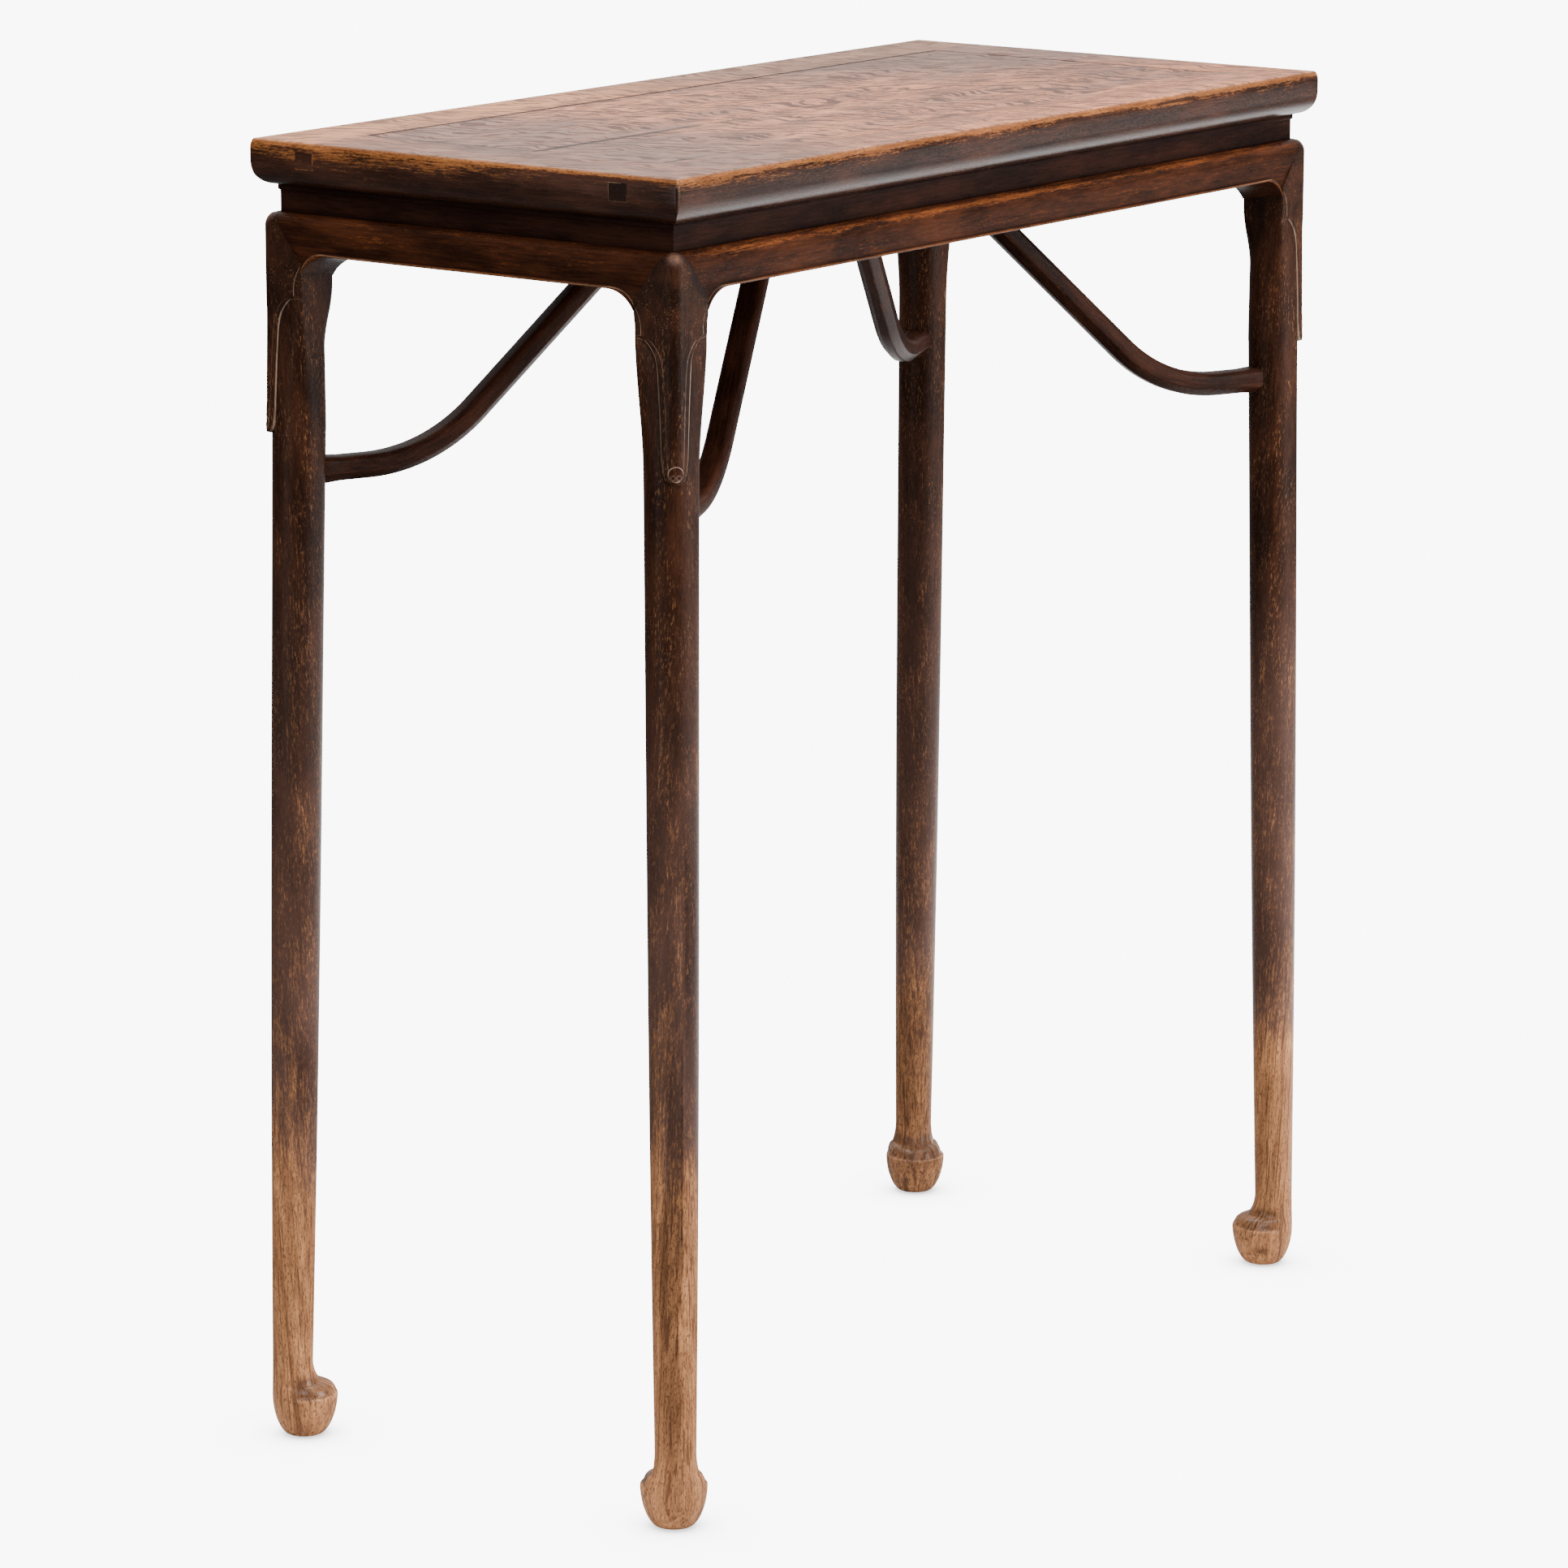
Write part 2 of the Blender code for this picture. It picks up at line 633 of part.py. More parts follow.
def leaf_rings():
    """From the step at the leaf's tip up to the foot of the spandrels: round inside, squarer outside."""
    for share in (0.0, 0.5, 1.0):
        z = mix(LEAF_TIP, SPANDREL_BASE, share)
        low = mix(SHAFT_TOP_INSET - SHAFT_TOP_RADIUS, APRON_INSET, share)
        high = mix(SHAFT_TOP_INSET + SHAFT_TOP_RADIUS, HEAD_INNER, share)
        side = mix((high - low) / 2, LEG_HEAD - SPANDREL_FOOT, share)
        yield rounded_ring(low, high, [HEAD_CORNER_RADIUS, side, side, side], z)


def head_rings():
    """The head: side edges sharpen along the spandrels, then the shoulder rounds in to the top."""
    straight = LEG_HEAD - SPANDREL_FOOT
    flat = SPANDREL_HEIGHT * sqrt(1 - (1 - (straight - HEAD_EDGE_RADIUS) / SPANDREL_WIDTH) ** 2)
    for share in (0.35, 0.65, 0.85, 1.0):
        z = SPANDREL_BASE + flat * share
        side = HEAD_INNER - APRON_INSET - spandrel_reach(z)
        yield rounded_ring(APRON_INSET, HEAD_INNER, [HEAD_CORNER_RADIUS, side, side, side], z)
    for i in range(EDGE_STEPS + 1):
        z = APRON_TOP - SHOULDER_HEIGHT * (1 - sin(pi / 2 * i / EDGE_STEPS))
        drawn = shoulder(z)
        radii = [HEAD_CORNER_RADIUS - drawn] + [HEAD_EDGE_RADIUS] * 3
        yield rounded_ring(APRON_INSET + drawn, HEAD_INNER, radii, z)


def leg_rings():
    step = LEAF_TIP - LEAF_STEP_HEIGHT
    shaft = [round_ring(shaft_inset(z), shaft_radius(z), z) for z in (mix(NECK_HEIGHT, step, 0.5), step)]
    return [*hoof_rings(), *shaft, *leaf_rings(), *head_rings()]


def leg_shape(x_sign, y_sign):
    return loft([[(-x_sign * x, -y_sign * y, z) for x, y, z in ring] for ring in leg_rings()])


def mitre_wedge(x_sign, y_sign, along_x):
    """What the lip of an apron takes from the leg head, down to where the mitre leaves the head."""
    low_z = APRON_TOP - (LEG_HEAD * 1.2 - MITRE_HEAD) / MITRE_SLOPE
    high_z = APRON_TOP + WAIST_HEIGHT / 2
    triangle = [
        (APRON_INSET + mitre_reach(high_z, 0.0), high_z),
        (APRON_INSET + mitre_reach(low_z, 0.0), low_z),
        (APRON_INSET + mitre_reach(low_z, 0.0), high_z),
    ]
    rings = []
    for depth in (-APRON_INSET, APRON_INSET + APRON_LIP + CLEARANCE):
        ring = []
        for p, z in triangle:
            x, y = (p, depth) if along_x else (depth, p)
            ring.append((x_sign * (TOP_LENGTH / 2 - x), y_sign * (TOP_DEPTH / 2 - y), z))
        rings.append(ring)
    return loft(rings)


def leg_top_tenon(x_sign, y_sign, side, slack):
    """The long tenon goes up into a long rail, and the short one into an end rail."""
    middle = (POST_INSET + HEAD_INNER) / 2
    reach = (HEAD_INNER - POST_INSET) / 4
    along_x = side in ("front", "back")
    x = middle + reach if along_x else middle - reach
    y = middle - reach if along_x else middle + reach
    half = LEG_TENON_SIDE / 2 + slack
    height = LONG_LEG_TENON if along_x else SHORT_LEG_TENON
    return leg_box(
        x_sign, y_sign, (x - half, x + half), (y - half, y + half),
        (FRAME_UNDERSIDE - LEG_TENON_SIDE, FRAME_UNDERSIDE + height + slack))


def make_legs(shop):
    for corner, (x_sign, y_sign) in CORNERS.items():
        place = leg_place(x_sign, y_sign)
        leg = shop.piece(f"leg_{corner}", leg_shape(x_sign, y_sign), "leg", place)
        shop.cut(leg, "long_mitre", mitre_wedge(x_sign, y_sign, True))
        shop.cut(leg, "end_mitre", mitre_wedge(x_sign, y_sign, False))
        lip = APRON_INSET + APRON_LIP + CLEARANCE
        past = HEAD_INNER + APRON_INSET
        plan = [
            (lip, lip),
            (past, lip),
            (past, POST_INSET),
            (POST_INSET, POST_INSET),
            (POST_INSET, past),
            (lip, past),
        ]
        plan = [(x_sign * (TOP_LENGTH / 2 - x), y_sign * (TOP_DEPTH / 2 - y)) for x, y in plan]
        shop.cut(leg, "waist_seat", upright_prism(plan, (WAIST_SEAT, FRAME_UNDERSIDE)))
        post = (POST_INSET + POST_MARGIN, HEAD_INNER - POST_MARGIN)
        post_height = (WAIST_SEAT - WAIST_REBATE, FRAME_UNDERSIDE - CLEARANCE)
        shop.add(leg, "post", leg_box(x_sign, y_sign, post, post, post_height))
        for side in ("front", "left"):
            name = "long_tenon" if side == "front" else "short_tenon"
            shop.add(leg, name, leg_top_tenon(x_sign, y_sign, side, 0.0))
        for side in corner.split("_"):
            end = apron_end_sign(side, x_sign, y_sign)
            shop.cut(leg, f"{side}_apron_mortise", apron_tenon(side, end, CLEARANCE), side_place(side))
        shop.cut(leg, "brace_mortise", brace_mortise(x_sign, y_sign))


def apron_end_sign(side, x_sign, y_sign):
    """Which end of a side's own run lies at a corner."""
    return {"front": x_sign, "back": -x_sign, "right": y_sign, "left": -y_sign}[side]


# Braces: a brace lies in the upright plane from its leg's axis towards the middle of the table

def brace_frame(x_sign, y_sign):
    """Origin on the leg's axis, the level direction inwards, and the direction across."""
    inset = shaft_inset(BRACE_HEIGHT)
    origin = Vector((x_sign * (TOP_LENGTH / 2 - inset), y_sign * (TOP_DEPTH / 2 - inset), 0))
    inward = -origin.normalized()
    across = Vector((-inward.y, inward.x, 0))
    return origin, inward, across


def brace_span():
    """Level distance from the leg's axis to the middle of the batten, along the brace."""
    origin, inward, _ = brace_frame(1, 1)
    return (origin.x - BATTEN_X) / -inward.x


def brace_path():
    """Points and slopes of the middle line: level, a bend up, a straight rise, a bend to the batten."""
    radius = BRACE_BEND_RADIUS
    head = (brace_span(), FRAME_UNDERSIDE - CLEARANCE - BRACE_DEPTH / 2 / cos(BRACE_HEAD_SLOPE))
    lower = (BRACE_FOOT_RUN, BRACE_HEIGHT + radius)
    upper = (head[0] + radius * sin(BRACE_HEAD_SLOPE), head[1] - radius * cos(BRACE_HEAD_SLOPE))
    run, rise = upper[0] - lower[0], upper[1] - lower[1]
    straight = sqrt(run * run + rise * rise - 4 * radius * radius)
    slope = atan2(rise, run) + atan2(2 * radius, straight)
    path = [(0.0, BRACE_HEIGHT, 0.0)]
    for i in range(BEND_STEPS + 1):
        angle = slope * i / BEND_STEPS
        path.append((lower[0] + radius * sin(angle), lower[1] - radius * cos(angle), angle))
    steps = BEND_STEPS // 2
    for i in range(steps + 1):
        angle = mix(slope, BRACE_HEAD_SLOPE, i / steps)
        path.append((upper[0] - radius * sin(angle), upper[1] + radius * cos(angle), angle))
    overrun_run = BRACE_HEAD_OVERRUN * cos(BRACE_HEAD_SLOPE)
    overrun_rise = BRACE_HEAD_OVERRUN * sin(BRACE_HEAD_SLOPE)
    path.append((head[0] + overrun_run, head[1] + overrun_rise, BRACE_HEAD_SLOPE))
    return path


def brace_section():
    """Flat sides, small chamfers above and larger ones below, as (across, up from the middle line)."""
    half, rise = BRACE_WIDTH / 2, BRACE_DEPTH / 2
    right = [
        (half - BRACE_LOWER_CHAMFER, -rise),
        (half, BRACE_LOWER_CHAMFER - rise),
        (half, rise - BRACE_UPPER_CHAMFER),
        (half - BRACE_UPPER_CHAMFER, rise),
    ]
    return right + [(-w, h) for w, h in reversed(right)]


def brace_shape(x_sign, y_sign):
    origin, inward, across = brace_frame(x_sign, y_sign)
    rings = []
    for run, z, slope in brace_path():
        rings.append([
            origin + inward * (run - h * sin(slope)) + across * w + Vector((0, 0, z + h * cos(slope)))
            for w, h in brace_section()])
    return loft(rings)


def brace_prism(x_sign, y_sign, outline, width):
    """A solid of one outline in the brace's plane, given as (level distance, height)."""
    origin, inward, across = brace_frame(x_sign, y_sign)
    return loft([
        [origin + inward * run + across * side * width / 2 + Vector((0, 0, z)) for run, z in outline]
        for side in (-1, 1)])


def brace_tenon_box():
    """Outer and inner end, bottom and top of the hooked tenon, in the brace's plane."""
    radius = shaft_radius(BRACE_HEIGHT)
    bottom = BRACE_HEIGHT - BRACE_TENON_HEIGHT / 2 + WEDGE_THICKNESS / 2
    return radius, radius - BRACE_TENON_DEPTH, bottom, bottom + BRACE_TENON_HEIGHT


def brace_tenon(x_sign, y_sign):
    radius, tip, bottom, top = brace_tenon_box()
    root = radius + BRACE_TENON_DEPTH / 2
    outline = [(tip, bottom), (root, bottom), (root, top), (radius, top), (tip, top + BRACE_TENON_HOOK)]
    return brace_prism(x_sign, y_sign, outline, BRACE_TENON_WIDTH)


def brace_mortise(x_sign, y_sign):
    radius, tip, bottom, top = brace_tenon_box()
    floor = bottom - WEDGE_THICKNESS - 2 * CLEARANCE
    mouth = radius + BRACE_TENON_DEPTH
    end = tip - CLEARANCE
    outline = [
        (end, floor),
        (mouth, floor),
        (mouth, top + CLEARANCE),
        (radius, top + CLEARANCE),
        (end, top + BRACE_TENON_HOOK + CLEARANCE),
    ]
    return brace_prism(x_sign, y_sign, outline, BRACE_TENON_WIDTH + 2 * CLEARANCE)


def brace_wedge(x_sign, y_sign):
    radius, tip, bottom, _ = brace_tenon_box()
    top = bottom - CLEARANCE
    outer = radius - 4 * CLEARANCE
    outline = [(tip, top - WEDGE_THICKNESS), (outer, top - WEDGE_THICKNESS), (outer, top), (tip, top)]
    return brace_prism(x_sign, y_sign, outline, BRACE_TENON_WIDTH)


def leg_scribe(x_sign, y_sign):
    """The round of the leg with its clearance, which hollows the brace's shoulder."""
    rings = []
    for z in (BRACE_HEIGHT - 2 * BRACE_DEPTH, BRACE_HEIGHT + 2 * BRACE_DEPTH):
        ring = round_ring(shaft_inset(z), shaft_radius(z) + CLEARANCE, z)
        rings.append([(x_sign * (TOP_LENGTH / 2 - x), y_sign * (TOP_DEPTH / 2 - y), z) for x, y, z in ring])
    return loft(rings)


def brace_pin(x_sign, y_sign, slack):
    """The pin from under the brace's head up into the batten, or its hole with some slack."""
    origin, inward, _ = brace_frame(x_sign, y_sign)
    centre = origin + inward * (brace_span() + BRACE_HEAD_OVERRUN / 4)
    underside = FRAME_UNDERSIDE - BRACE_DEPTH / cos(BRACE_HEAD_SLOPE)
    bottom = underside - PIN_PROUD - (BRACE_DEPTH if slack else 0.0)
    return cylinder(centre, PIN_RADIUS + slack, bottom, FRAME_UNDERSIDE + PIN_DEPTH + slack)


def seat_block(x_sign, y_sign):
    """Everything above the underside of the batten, which levels the brace's head."""
    seat = FRAME_UNDERSIDE - CLEARANCE
    span = brace_span()
    outline = [
        (span - BRACE_DEPTH, seat),
        (span + 2 * BRACE_DEPTH, seat),
        (span + 2 * BRACE_DEPTH, seat + BRACE_DEPTH),
        (span - BRACE_DEPTH, seat + BRACE_DEPTH),
    ]
    return brace_prism(x_sign, y_sign, outline, 2 * BRACE_WIDTH)


def make_braces(shop):
    for corner, signs in CORNERS.items():
        brace = shop.piece(f"brace_{corner}", brace_shape(*signs), "brace")
        shop.cut(brace, "leg_scribe", leg_scribe(*signs))
        shop.cut(brace, "batten_seat", seat_block(*signs))
        shop.add(brace, "hooked_tenon", brace_tenon(*signs))
        shop.cut(brace, "pin_hole", brace_pin(*signs, CLEARANCE))
        shop.piece(f"brace_wedge_{corner}", brace_wedge(*signs), "joint_wood")
        shop.piece(f"brace_pin_{corner}", brace_pin(*signs, 0.0), "joint_wood")


def main():
    clear_scene()
    shop = Workshop()
    make_top_frame(shop)
    make_panel(shop)
    make_battens(shop)
    make_waist(shop)
    make_aprons(shop)
    make_legs(shop)
    make_braces(shop)


main()
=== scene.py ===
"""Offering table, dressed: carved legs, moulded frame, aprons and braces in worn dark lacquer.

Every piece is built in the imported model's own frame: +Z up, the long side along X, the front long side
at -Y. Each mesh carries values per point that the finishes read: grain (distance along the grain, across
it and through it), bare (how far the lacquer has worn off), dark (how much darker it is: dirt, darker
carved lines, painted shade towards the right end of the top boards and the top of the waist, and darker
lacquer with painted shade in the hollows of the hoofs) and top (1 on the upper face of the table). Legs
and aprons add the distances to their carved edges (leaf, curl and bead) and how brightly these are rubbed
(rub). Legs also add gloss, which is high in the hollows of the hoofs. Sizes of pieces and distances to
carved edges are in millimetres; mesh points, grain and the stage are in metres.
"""
from math import atan2, cos, dist, exp, pi, radians, sin, sqrt

import bmesh
import bpy
from mathutils import Matrix, Vector, noise


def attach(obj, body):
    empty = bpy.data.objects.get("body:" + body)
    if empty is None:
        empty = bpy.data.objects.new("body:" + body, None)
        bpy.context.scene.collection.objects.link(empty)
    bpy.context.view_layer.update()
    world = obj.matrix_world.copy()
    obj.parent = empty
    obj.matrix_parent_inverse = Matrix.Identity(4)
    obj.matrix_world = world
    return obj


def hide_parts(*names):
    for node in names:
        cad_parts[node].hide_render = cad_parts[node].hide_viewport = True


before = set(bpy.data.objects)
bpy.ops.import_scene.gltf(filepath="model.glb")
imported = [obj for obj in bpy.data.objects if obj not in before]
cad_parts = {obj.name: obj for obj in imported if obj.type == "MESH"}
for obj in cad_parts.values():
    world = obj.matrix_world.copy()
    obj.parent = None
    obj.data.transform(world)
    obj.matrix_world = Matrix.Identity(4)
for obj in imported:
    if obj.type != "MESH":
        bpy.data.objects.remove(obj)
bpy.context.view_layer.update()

MM = 0.001

# Sizes of the table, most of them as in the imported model
TOP_LENGTH = 756
TOP_DEPTH = 348
TABLE_HEIGHT = 880
RAIL_WIDTH = 54
RAIL_THICKNESS = 30
FRAME_UNDERSIDE = TABLE_HEIGHT - RAIL_THICKNESS
PANEL_UNDERSIDE = TABLE_HEIGHT - 12
BOARD_JOINT_Y = -17
WAIST_INSET = 14.4
WAIST_THICKNESS = 7.7
APRON_INSET = 4.6
APRON_THICKNESS = 18
APRON_TOP = FRAME_UNDERSIDE - 18
APRON_BOTTOM = APRON_TOP - 25.5
APRON_LIP = 9.2
WAIST_SEAT = APRON_TOP - 6
SHOULDER_DEPTH = 8
SHOULDER_HEIGHT = 9
SPANDREL_FOOT = 31
SPANDREL_WIDTH = 24
SPANDREL_HEIGHT = 24
SPANDREL_BASE = APRON_BOTTOM - SPANDREL_HEIGHT
LEG_HEAD = 34
HEAD_INNER = APRON_INSET + LEG_HEAD
HEAD_CORNER_RADIUS = 8.6
HEAD_EDGE_RADIUS = 1.2
LEAF_TIP = APRON_BOTTOM - 116.5
SHAFT_TOP_RADIUS = 17.6
SHAFT_ANKLE_RADIUS = 13.6
SHAFT_SWELLING = 0.9
SHAFT_TOP_INSET = 21.35
SHAFT_FLOOR_INSET = 11.1
HOOF_RADIUS = 22.1
HOOF_SOLE_RADIUS = 10.6
HOOF_RIM_HEIGHT = 27.4
HOOF_LEDGE_HEIGHT = 36.4
HOOF_LEDGE_RADIUS = 16.9
NECK_HEIGHT = 52
DISH_DEPTH = 2.2
BATTEN_X = 72
BRACE_HEIGHT = FRAME_UNDERSIDE - 189.5
BRACE_FOOT_RUN = 50
BRACE_BEND_RADIUS = 122
BRACE_HEAD_SLOPE = radians(20)
BRACE_HEAD_OVERRUN = 13
BRACE_WIDTH = 17
BRACE_DEPTH = 16.5
CLEARANCE = 0.3
HAIRLINE = 0.06

# Turn about the middle of the table, length and the span across it
SIDES = {
    "front": (0.0, TOP_LENGTH, TOP_DEPTH),
    "right": (pi / 2, TOP_DEPTH, TOP_LENGTH),
    "back": (pi, TOP_LENGTH, TOP_DEPTH),
    "left": (-pi / 2, TOP_DEPTH, TOP_LENGTH),
}
LONG_SIDES = ("front", "back")
CORNERS = {
    "front_left": (-1, -1),
    "front_right": (1, -1),
    "back_left": (-1, 1),
    "back_right": (1, 1),
}


def mix(a, b, share):
    return a + (b - a) * share


def ramp(value, low, high):
    """0 below low, 1 above high, eased between."""
    share = min(1.0, max(0.0, (value - low) / (high - low)))
    return share * share * (3 - 2 * share)


def line(distance, width):
    """1 on a line and fading out within about its width on either side."""
    return exp(-(distance / width) ** 2)


def spread(low, high, count):
    return [mix(low, high, i / count) for i in range(count + 1)]


def through(points, value):
    """The value of a broken line through (position, value) points."""
    if value <= points[0][0]:
        return points[0][1]
    for (x0, y0), (x1, y1) in zip(points, points[1:]):
        if value <= x1:
            return mix(y0, y1, (value - x0) / (x1 - x0))
    return points[-1][1]


# Shader nodes

class Signal:
    """What a node puts out, so that formulas can be written with +, - and *."""

    def __init__(self, socket):
        self.socket = socket
        self.tree = socket.id_data

    def maths(self, operation, *others):
        return add_node(self.tree, "ShaderNodeMath", (self, *others), operation=operation)

    def __add__(self, other):
        return self.maths("ADD", other)

    def __sub__(self, other):
        return self.maths("SUBTRACT", other)

    def __rsub__(self, other):
        return self.maths("MULTIPLY_ADD", -1.0, other)

    def __mul__(self, other):
        return self.maths("MULTIPLY", other)

    def smooth(self, low, high, to_low=0.0, to_high=1.0):
        """One value at low and another at high, eased between."""
        inputs = (self, low, high, to_low, to_high)
        return add_node(self.tree, "ShaderNodeMapRange", inputs, interpolation_type="SMOOTHSTEP")

    def between(self, first, second):
        """The colour at this share of the way from the first to the second."""
        return mix_colours(self.tree, self, first, second, "MIX")

    def clouds(self, scale, detail=3.0, roughness=0.55):
        """Noise at this place, with a scale for each direction."""
        place = add_node(self.tree, "ShaderNodeMapping", {"Vector": self, "Scale": scale})
        return add_node(self.tree, "ShaderNodeTexNoise", {
            "Vector": place, "Scale": 1.0, "Detail": detail, "Roughness": roughness})

    def vector_maths(self, operation, output, *others):
        return add_node(self.tree, "ShaderNodeVectorMath", (self, *others), output, operation=operation)

    def split(self):
        node = add_node(self.tree, "ShaderNodeSeparateXYZ", (self,)).socket.node
        return [Signal(socket) for socket in node.outputs]


def feed(node, inputs):
    """Gives inputs, by name or in order, a signal or a value; the three parts of a colour get their alpha."""
    for name, value in inputs.items() if isinstance(inputs, dict) else enumerate(inputs):
        socket = node.inputs[name]
        if isinstance(value, Signal):
            node.id_data.links.new(value.socket, socket)
        elif socket.type == "RGBA":
            socket.default_value = (*value, 1.0)
        else:
            socket.default_value = value


def add_node(tree, kind, inputs=(), output=0, **settings):
    """A new node; gives back one of its outputs as a signal."""
    node = tree.nodes.new(kind)
    for name, value in settings.items():
        setattr(node, name, value)
    feed(node, inputs)
    return Signal(node.outputs[output])


def mix_colours(tree, share, first, second, mode):
    factor, first_colour, second_colour, mixed_colour = 0, 6, 7, 2
    return add_node(tree, "ShaderNodeMix", {factor: share, first_colour: first, second_colour: second},
                    mixed_colour, data_type="RGBA", blend_type=mode)


def grey_of(level):
    return add_node(level.tree, "ShaderNodeCombineColor", (level, level, level))


def read(tree, name, output="Fac"):
    """A value that the mesh carries."""
    return add_node(tree, "ShaderNodeAttribute", output=output, attribute_name=name)


def object_place(tree):
    return add_node(tree, "ShaderNodeTexCoord", output="Object")


SOCKET_KINDS = {"Grain": "NodeSocketVector", "Place": "NodeSocketVector", "Colour": "NodeSocketColor"}


def add_sockets(group, direction, labels):
    for label in labels:
        kind = SOCKET_KINDS.get(label, "NodeSocketFloat")
        group.interface.new_socket(label, in_out=direction, socket_type=kind)


def new_group(name, *labels):
    """A node group, followed by its inputs as signals."""
    group = bpy.data.node_groups.new(name, "ShaderNodeTree")
    add_sockets(group, "INPUT", labels)
    sockets = group.nodes.new("NodeGroupInput").outputs
    return group, *(Signal(sockets[label]) for label in labels)


def close_group(group, results):
    add_sockets(group, "OUTPUT", results)
    feed(group.nodes.new("NodeGroupOutput"), results)
    return group


def place_group(tree, group, *inputs):
    """The outputs of a group that is placed in a material."""
    node = add_node(tree, "ShaderNodeGroup", inputs, node_tree=group).socket.node
    return [Signal(socket) for socket in node.outputs]


# Effects that several finishes share

BEAD_WIDTH = 2.3
BEAD_RUB_OFFSET = BEAD_WIDTH + 0.7
LEAF_LINE_OFFSET = 3.1
RIPPLE_PERIOD = 8.5 * MM
SLANT = (0.94, 0.33)


def make_timber_figure():
    """Growth figure, pores, mottling, streaks, flecks and dark lines of one board, from its grain."""
    group, grain, waviness, width, share = new_group(
        "timber_figure", "Grain", "Waviness", "Figure Width", "Figure Share")
    bend = (grain.clouds((4.0, 18.0, 18.0), 2.0) - 0.5) * waviness
    _, across, depth = grain.split()
    across = across + bend * 0.08
    depth = depth + bend * 0.04 + 0.02
    rings = ((across * across + depth * depth).maths("SQRT") * (width * (2 * pi))).maths("SINE")
    streaks = grain.clouds((48.0, 620.0, 620.0), 5.0, 0.68)
    gathered = grain.clouds((24.0, 90.0, 90.0)).smooth(0.40, 0.64, 0.12, 1.0)
    return close_group(group, {
        "Figure": (rings * share + streaks).smooth(0.25, 0.75),
        "Pores": grain.clouds((340.0, 1300.0, 1300.0), 3.0, 0.65).smooth(0.50, 0.66),
        "Mottle": grain.clouds((13.0, 42.0, 42.0), 5.0, 0.6),
        "Streaks": streaks,
        "Flecks": grain.clouds((240.0, 1100.0, 1100.0), 3.0, 0.6).smooth(0.54, 0.66) * gathered,
        "Lines": grain.clouds((9.0, 620.0, 620.0), 2.0, 0.5).smooth(0.575, 0.63),
    })


def make_worn_patches():
    """Where lacquer has worn off: a steady share broken up by patches, streaks along the grain and chips."""
    group, grain, bare, streaks, breakup, softness = new_group(
        "worn_patches", "Grain", "Bare", "Streaks", "Breakup", "Softness")
    patches = grain.clouds((20.0, 75.0, 75.0), 5.0, 0.62)
    chips = grain.clouds((230.0, 900.0, 900.0), 3.0, 0.65)
    rough = patches * 0.32 + (streaks * 0.30 + chips * 0.38)
    level = bare + (rough - 0.5) * breakup * 3.0
    return close_group(group, {"Mask": level.smooth(0.5 - softness, softness + 0.5)})


def make_carved_edges():
    """How much the carved edges are rubbed: the leaf's outline, its inner line, the roundel and the bead."""
    group, leaf, curl, bead, rub, streaks = new_group(
        "carved_edges", "Leaf", "Curl", "Bead", "Rub", "Streaks")
    total = None
    for distance, offset, width, amount in (
        (leaf, 0.0, 0.60, 0.90),
        (leaf, LEAF_LINE_OFFSET, 0.42, 0.20),
        (curl, 0.0, 0.5, 0.62),
        (bead, BEAD_RUB_OFFSET, 0.6, 0.7),
    ):
        part = (distance - offset).maths("ABSOLUTE").smooth(0.0, width, amount, 0.0)
        total = total.maths("MAXIMUM", part) if total else part
    worn = total * streaks.smooth(0.32, 0.60, 0.55, 1.1) * rub
    return close_group(group, {"Mask": worn.maths("MINIMUM", 0.9)})


def make_grey_and_sheen_top():
    """Where the top is greyer, and the wavy dark lines that cross its boards at a slant.

    It is grey near its left end and in drifting patches, and over its far right part, where the grey is a
    painted sheen. The lines swirl in places and are broken into dashes.
    """
    group, place, grain = new_group("grey_and_sheen_top", "Place", "Grain")
    x, y, _ = place.split()
    left = x.smooth(-0.10, -0.26) * y.smooth(0.18, 0.06)
    # Painted sheen: the top goes greyer over its far right part.
    far = (x * 0.5 + y).smooth(0.06, 0.24, 0.0, 1.3)
    patches = grain.clouds((9.0, 26.0, 9.0), 4.0).smooth(0.45, 0.72, 0.0, 0.75)
    swirl = place.clouds((9.0, 12.0, 9.0), 2.0) * 0.10
    tremor = place.clouds((110.0, 80.0, 80.0), 2.0) * 0.009
    across = x * SLANT[0] + y * SLANT[1] + (swirl + tremor)
    along = x * SLANT[1] - y * SLANT[0]
    wave = (across * (2 * pi / RIPPLE_PERIOD)).maths("SINE")
    dashes = add_node(group, "ShaderNodeCombineXYZ", (along, across)).clouds((32.0, 150.0, 1.0), 3.0, 0.6)
    return close_group(group, {
        "Grey": ((left + far + patches) * 0.75).maths("MINIMUM", 0.9),
        "Ripples": (wave * 0.06 + dashes).smooth(0.49, 0.57),
    })


def make_dirt_and_shade():
    """A colour darkened by dirt and by painted shade, and mottled."""
    group, colour, dark, mottle = new_group("dirt_and_shade", "Colour", "Dark", "Mottle")
    shade = (1.0 - dark * 0.85) * mottle.smooth(0.3, 0.7, 0.78, 1.15)
    return close_group(group, {"Colour": mix_colours(group, 1.0, colour, grey_of(shade), "MULTIPLY")})


TIMBER_FIGURE = make_timber_figure()
WORN_PATCHES = make_worn_patches()
CARVED_EDGES = make_carved_edges()
GREY_AND_SHEEN_TOP = make_grey_and_sheen_top()
DIRT_AND_SHADE = make_dirt_and_shade()


# Finishes

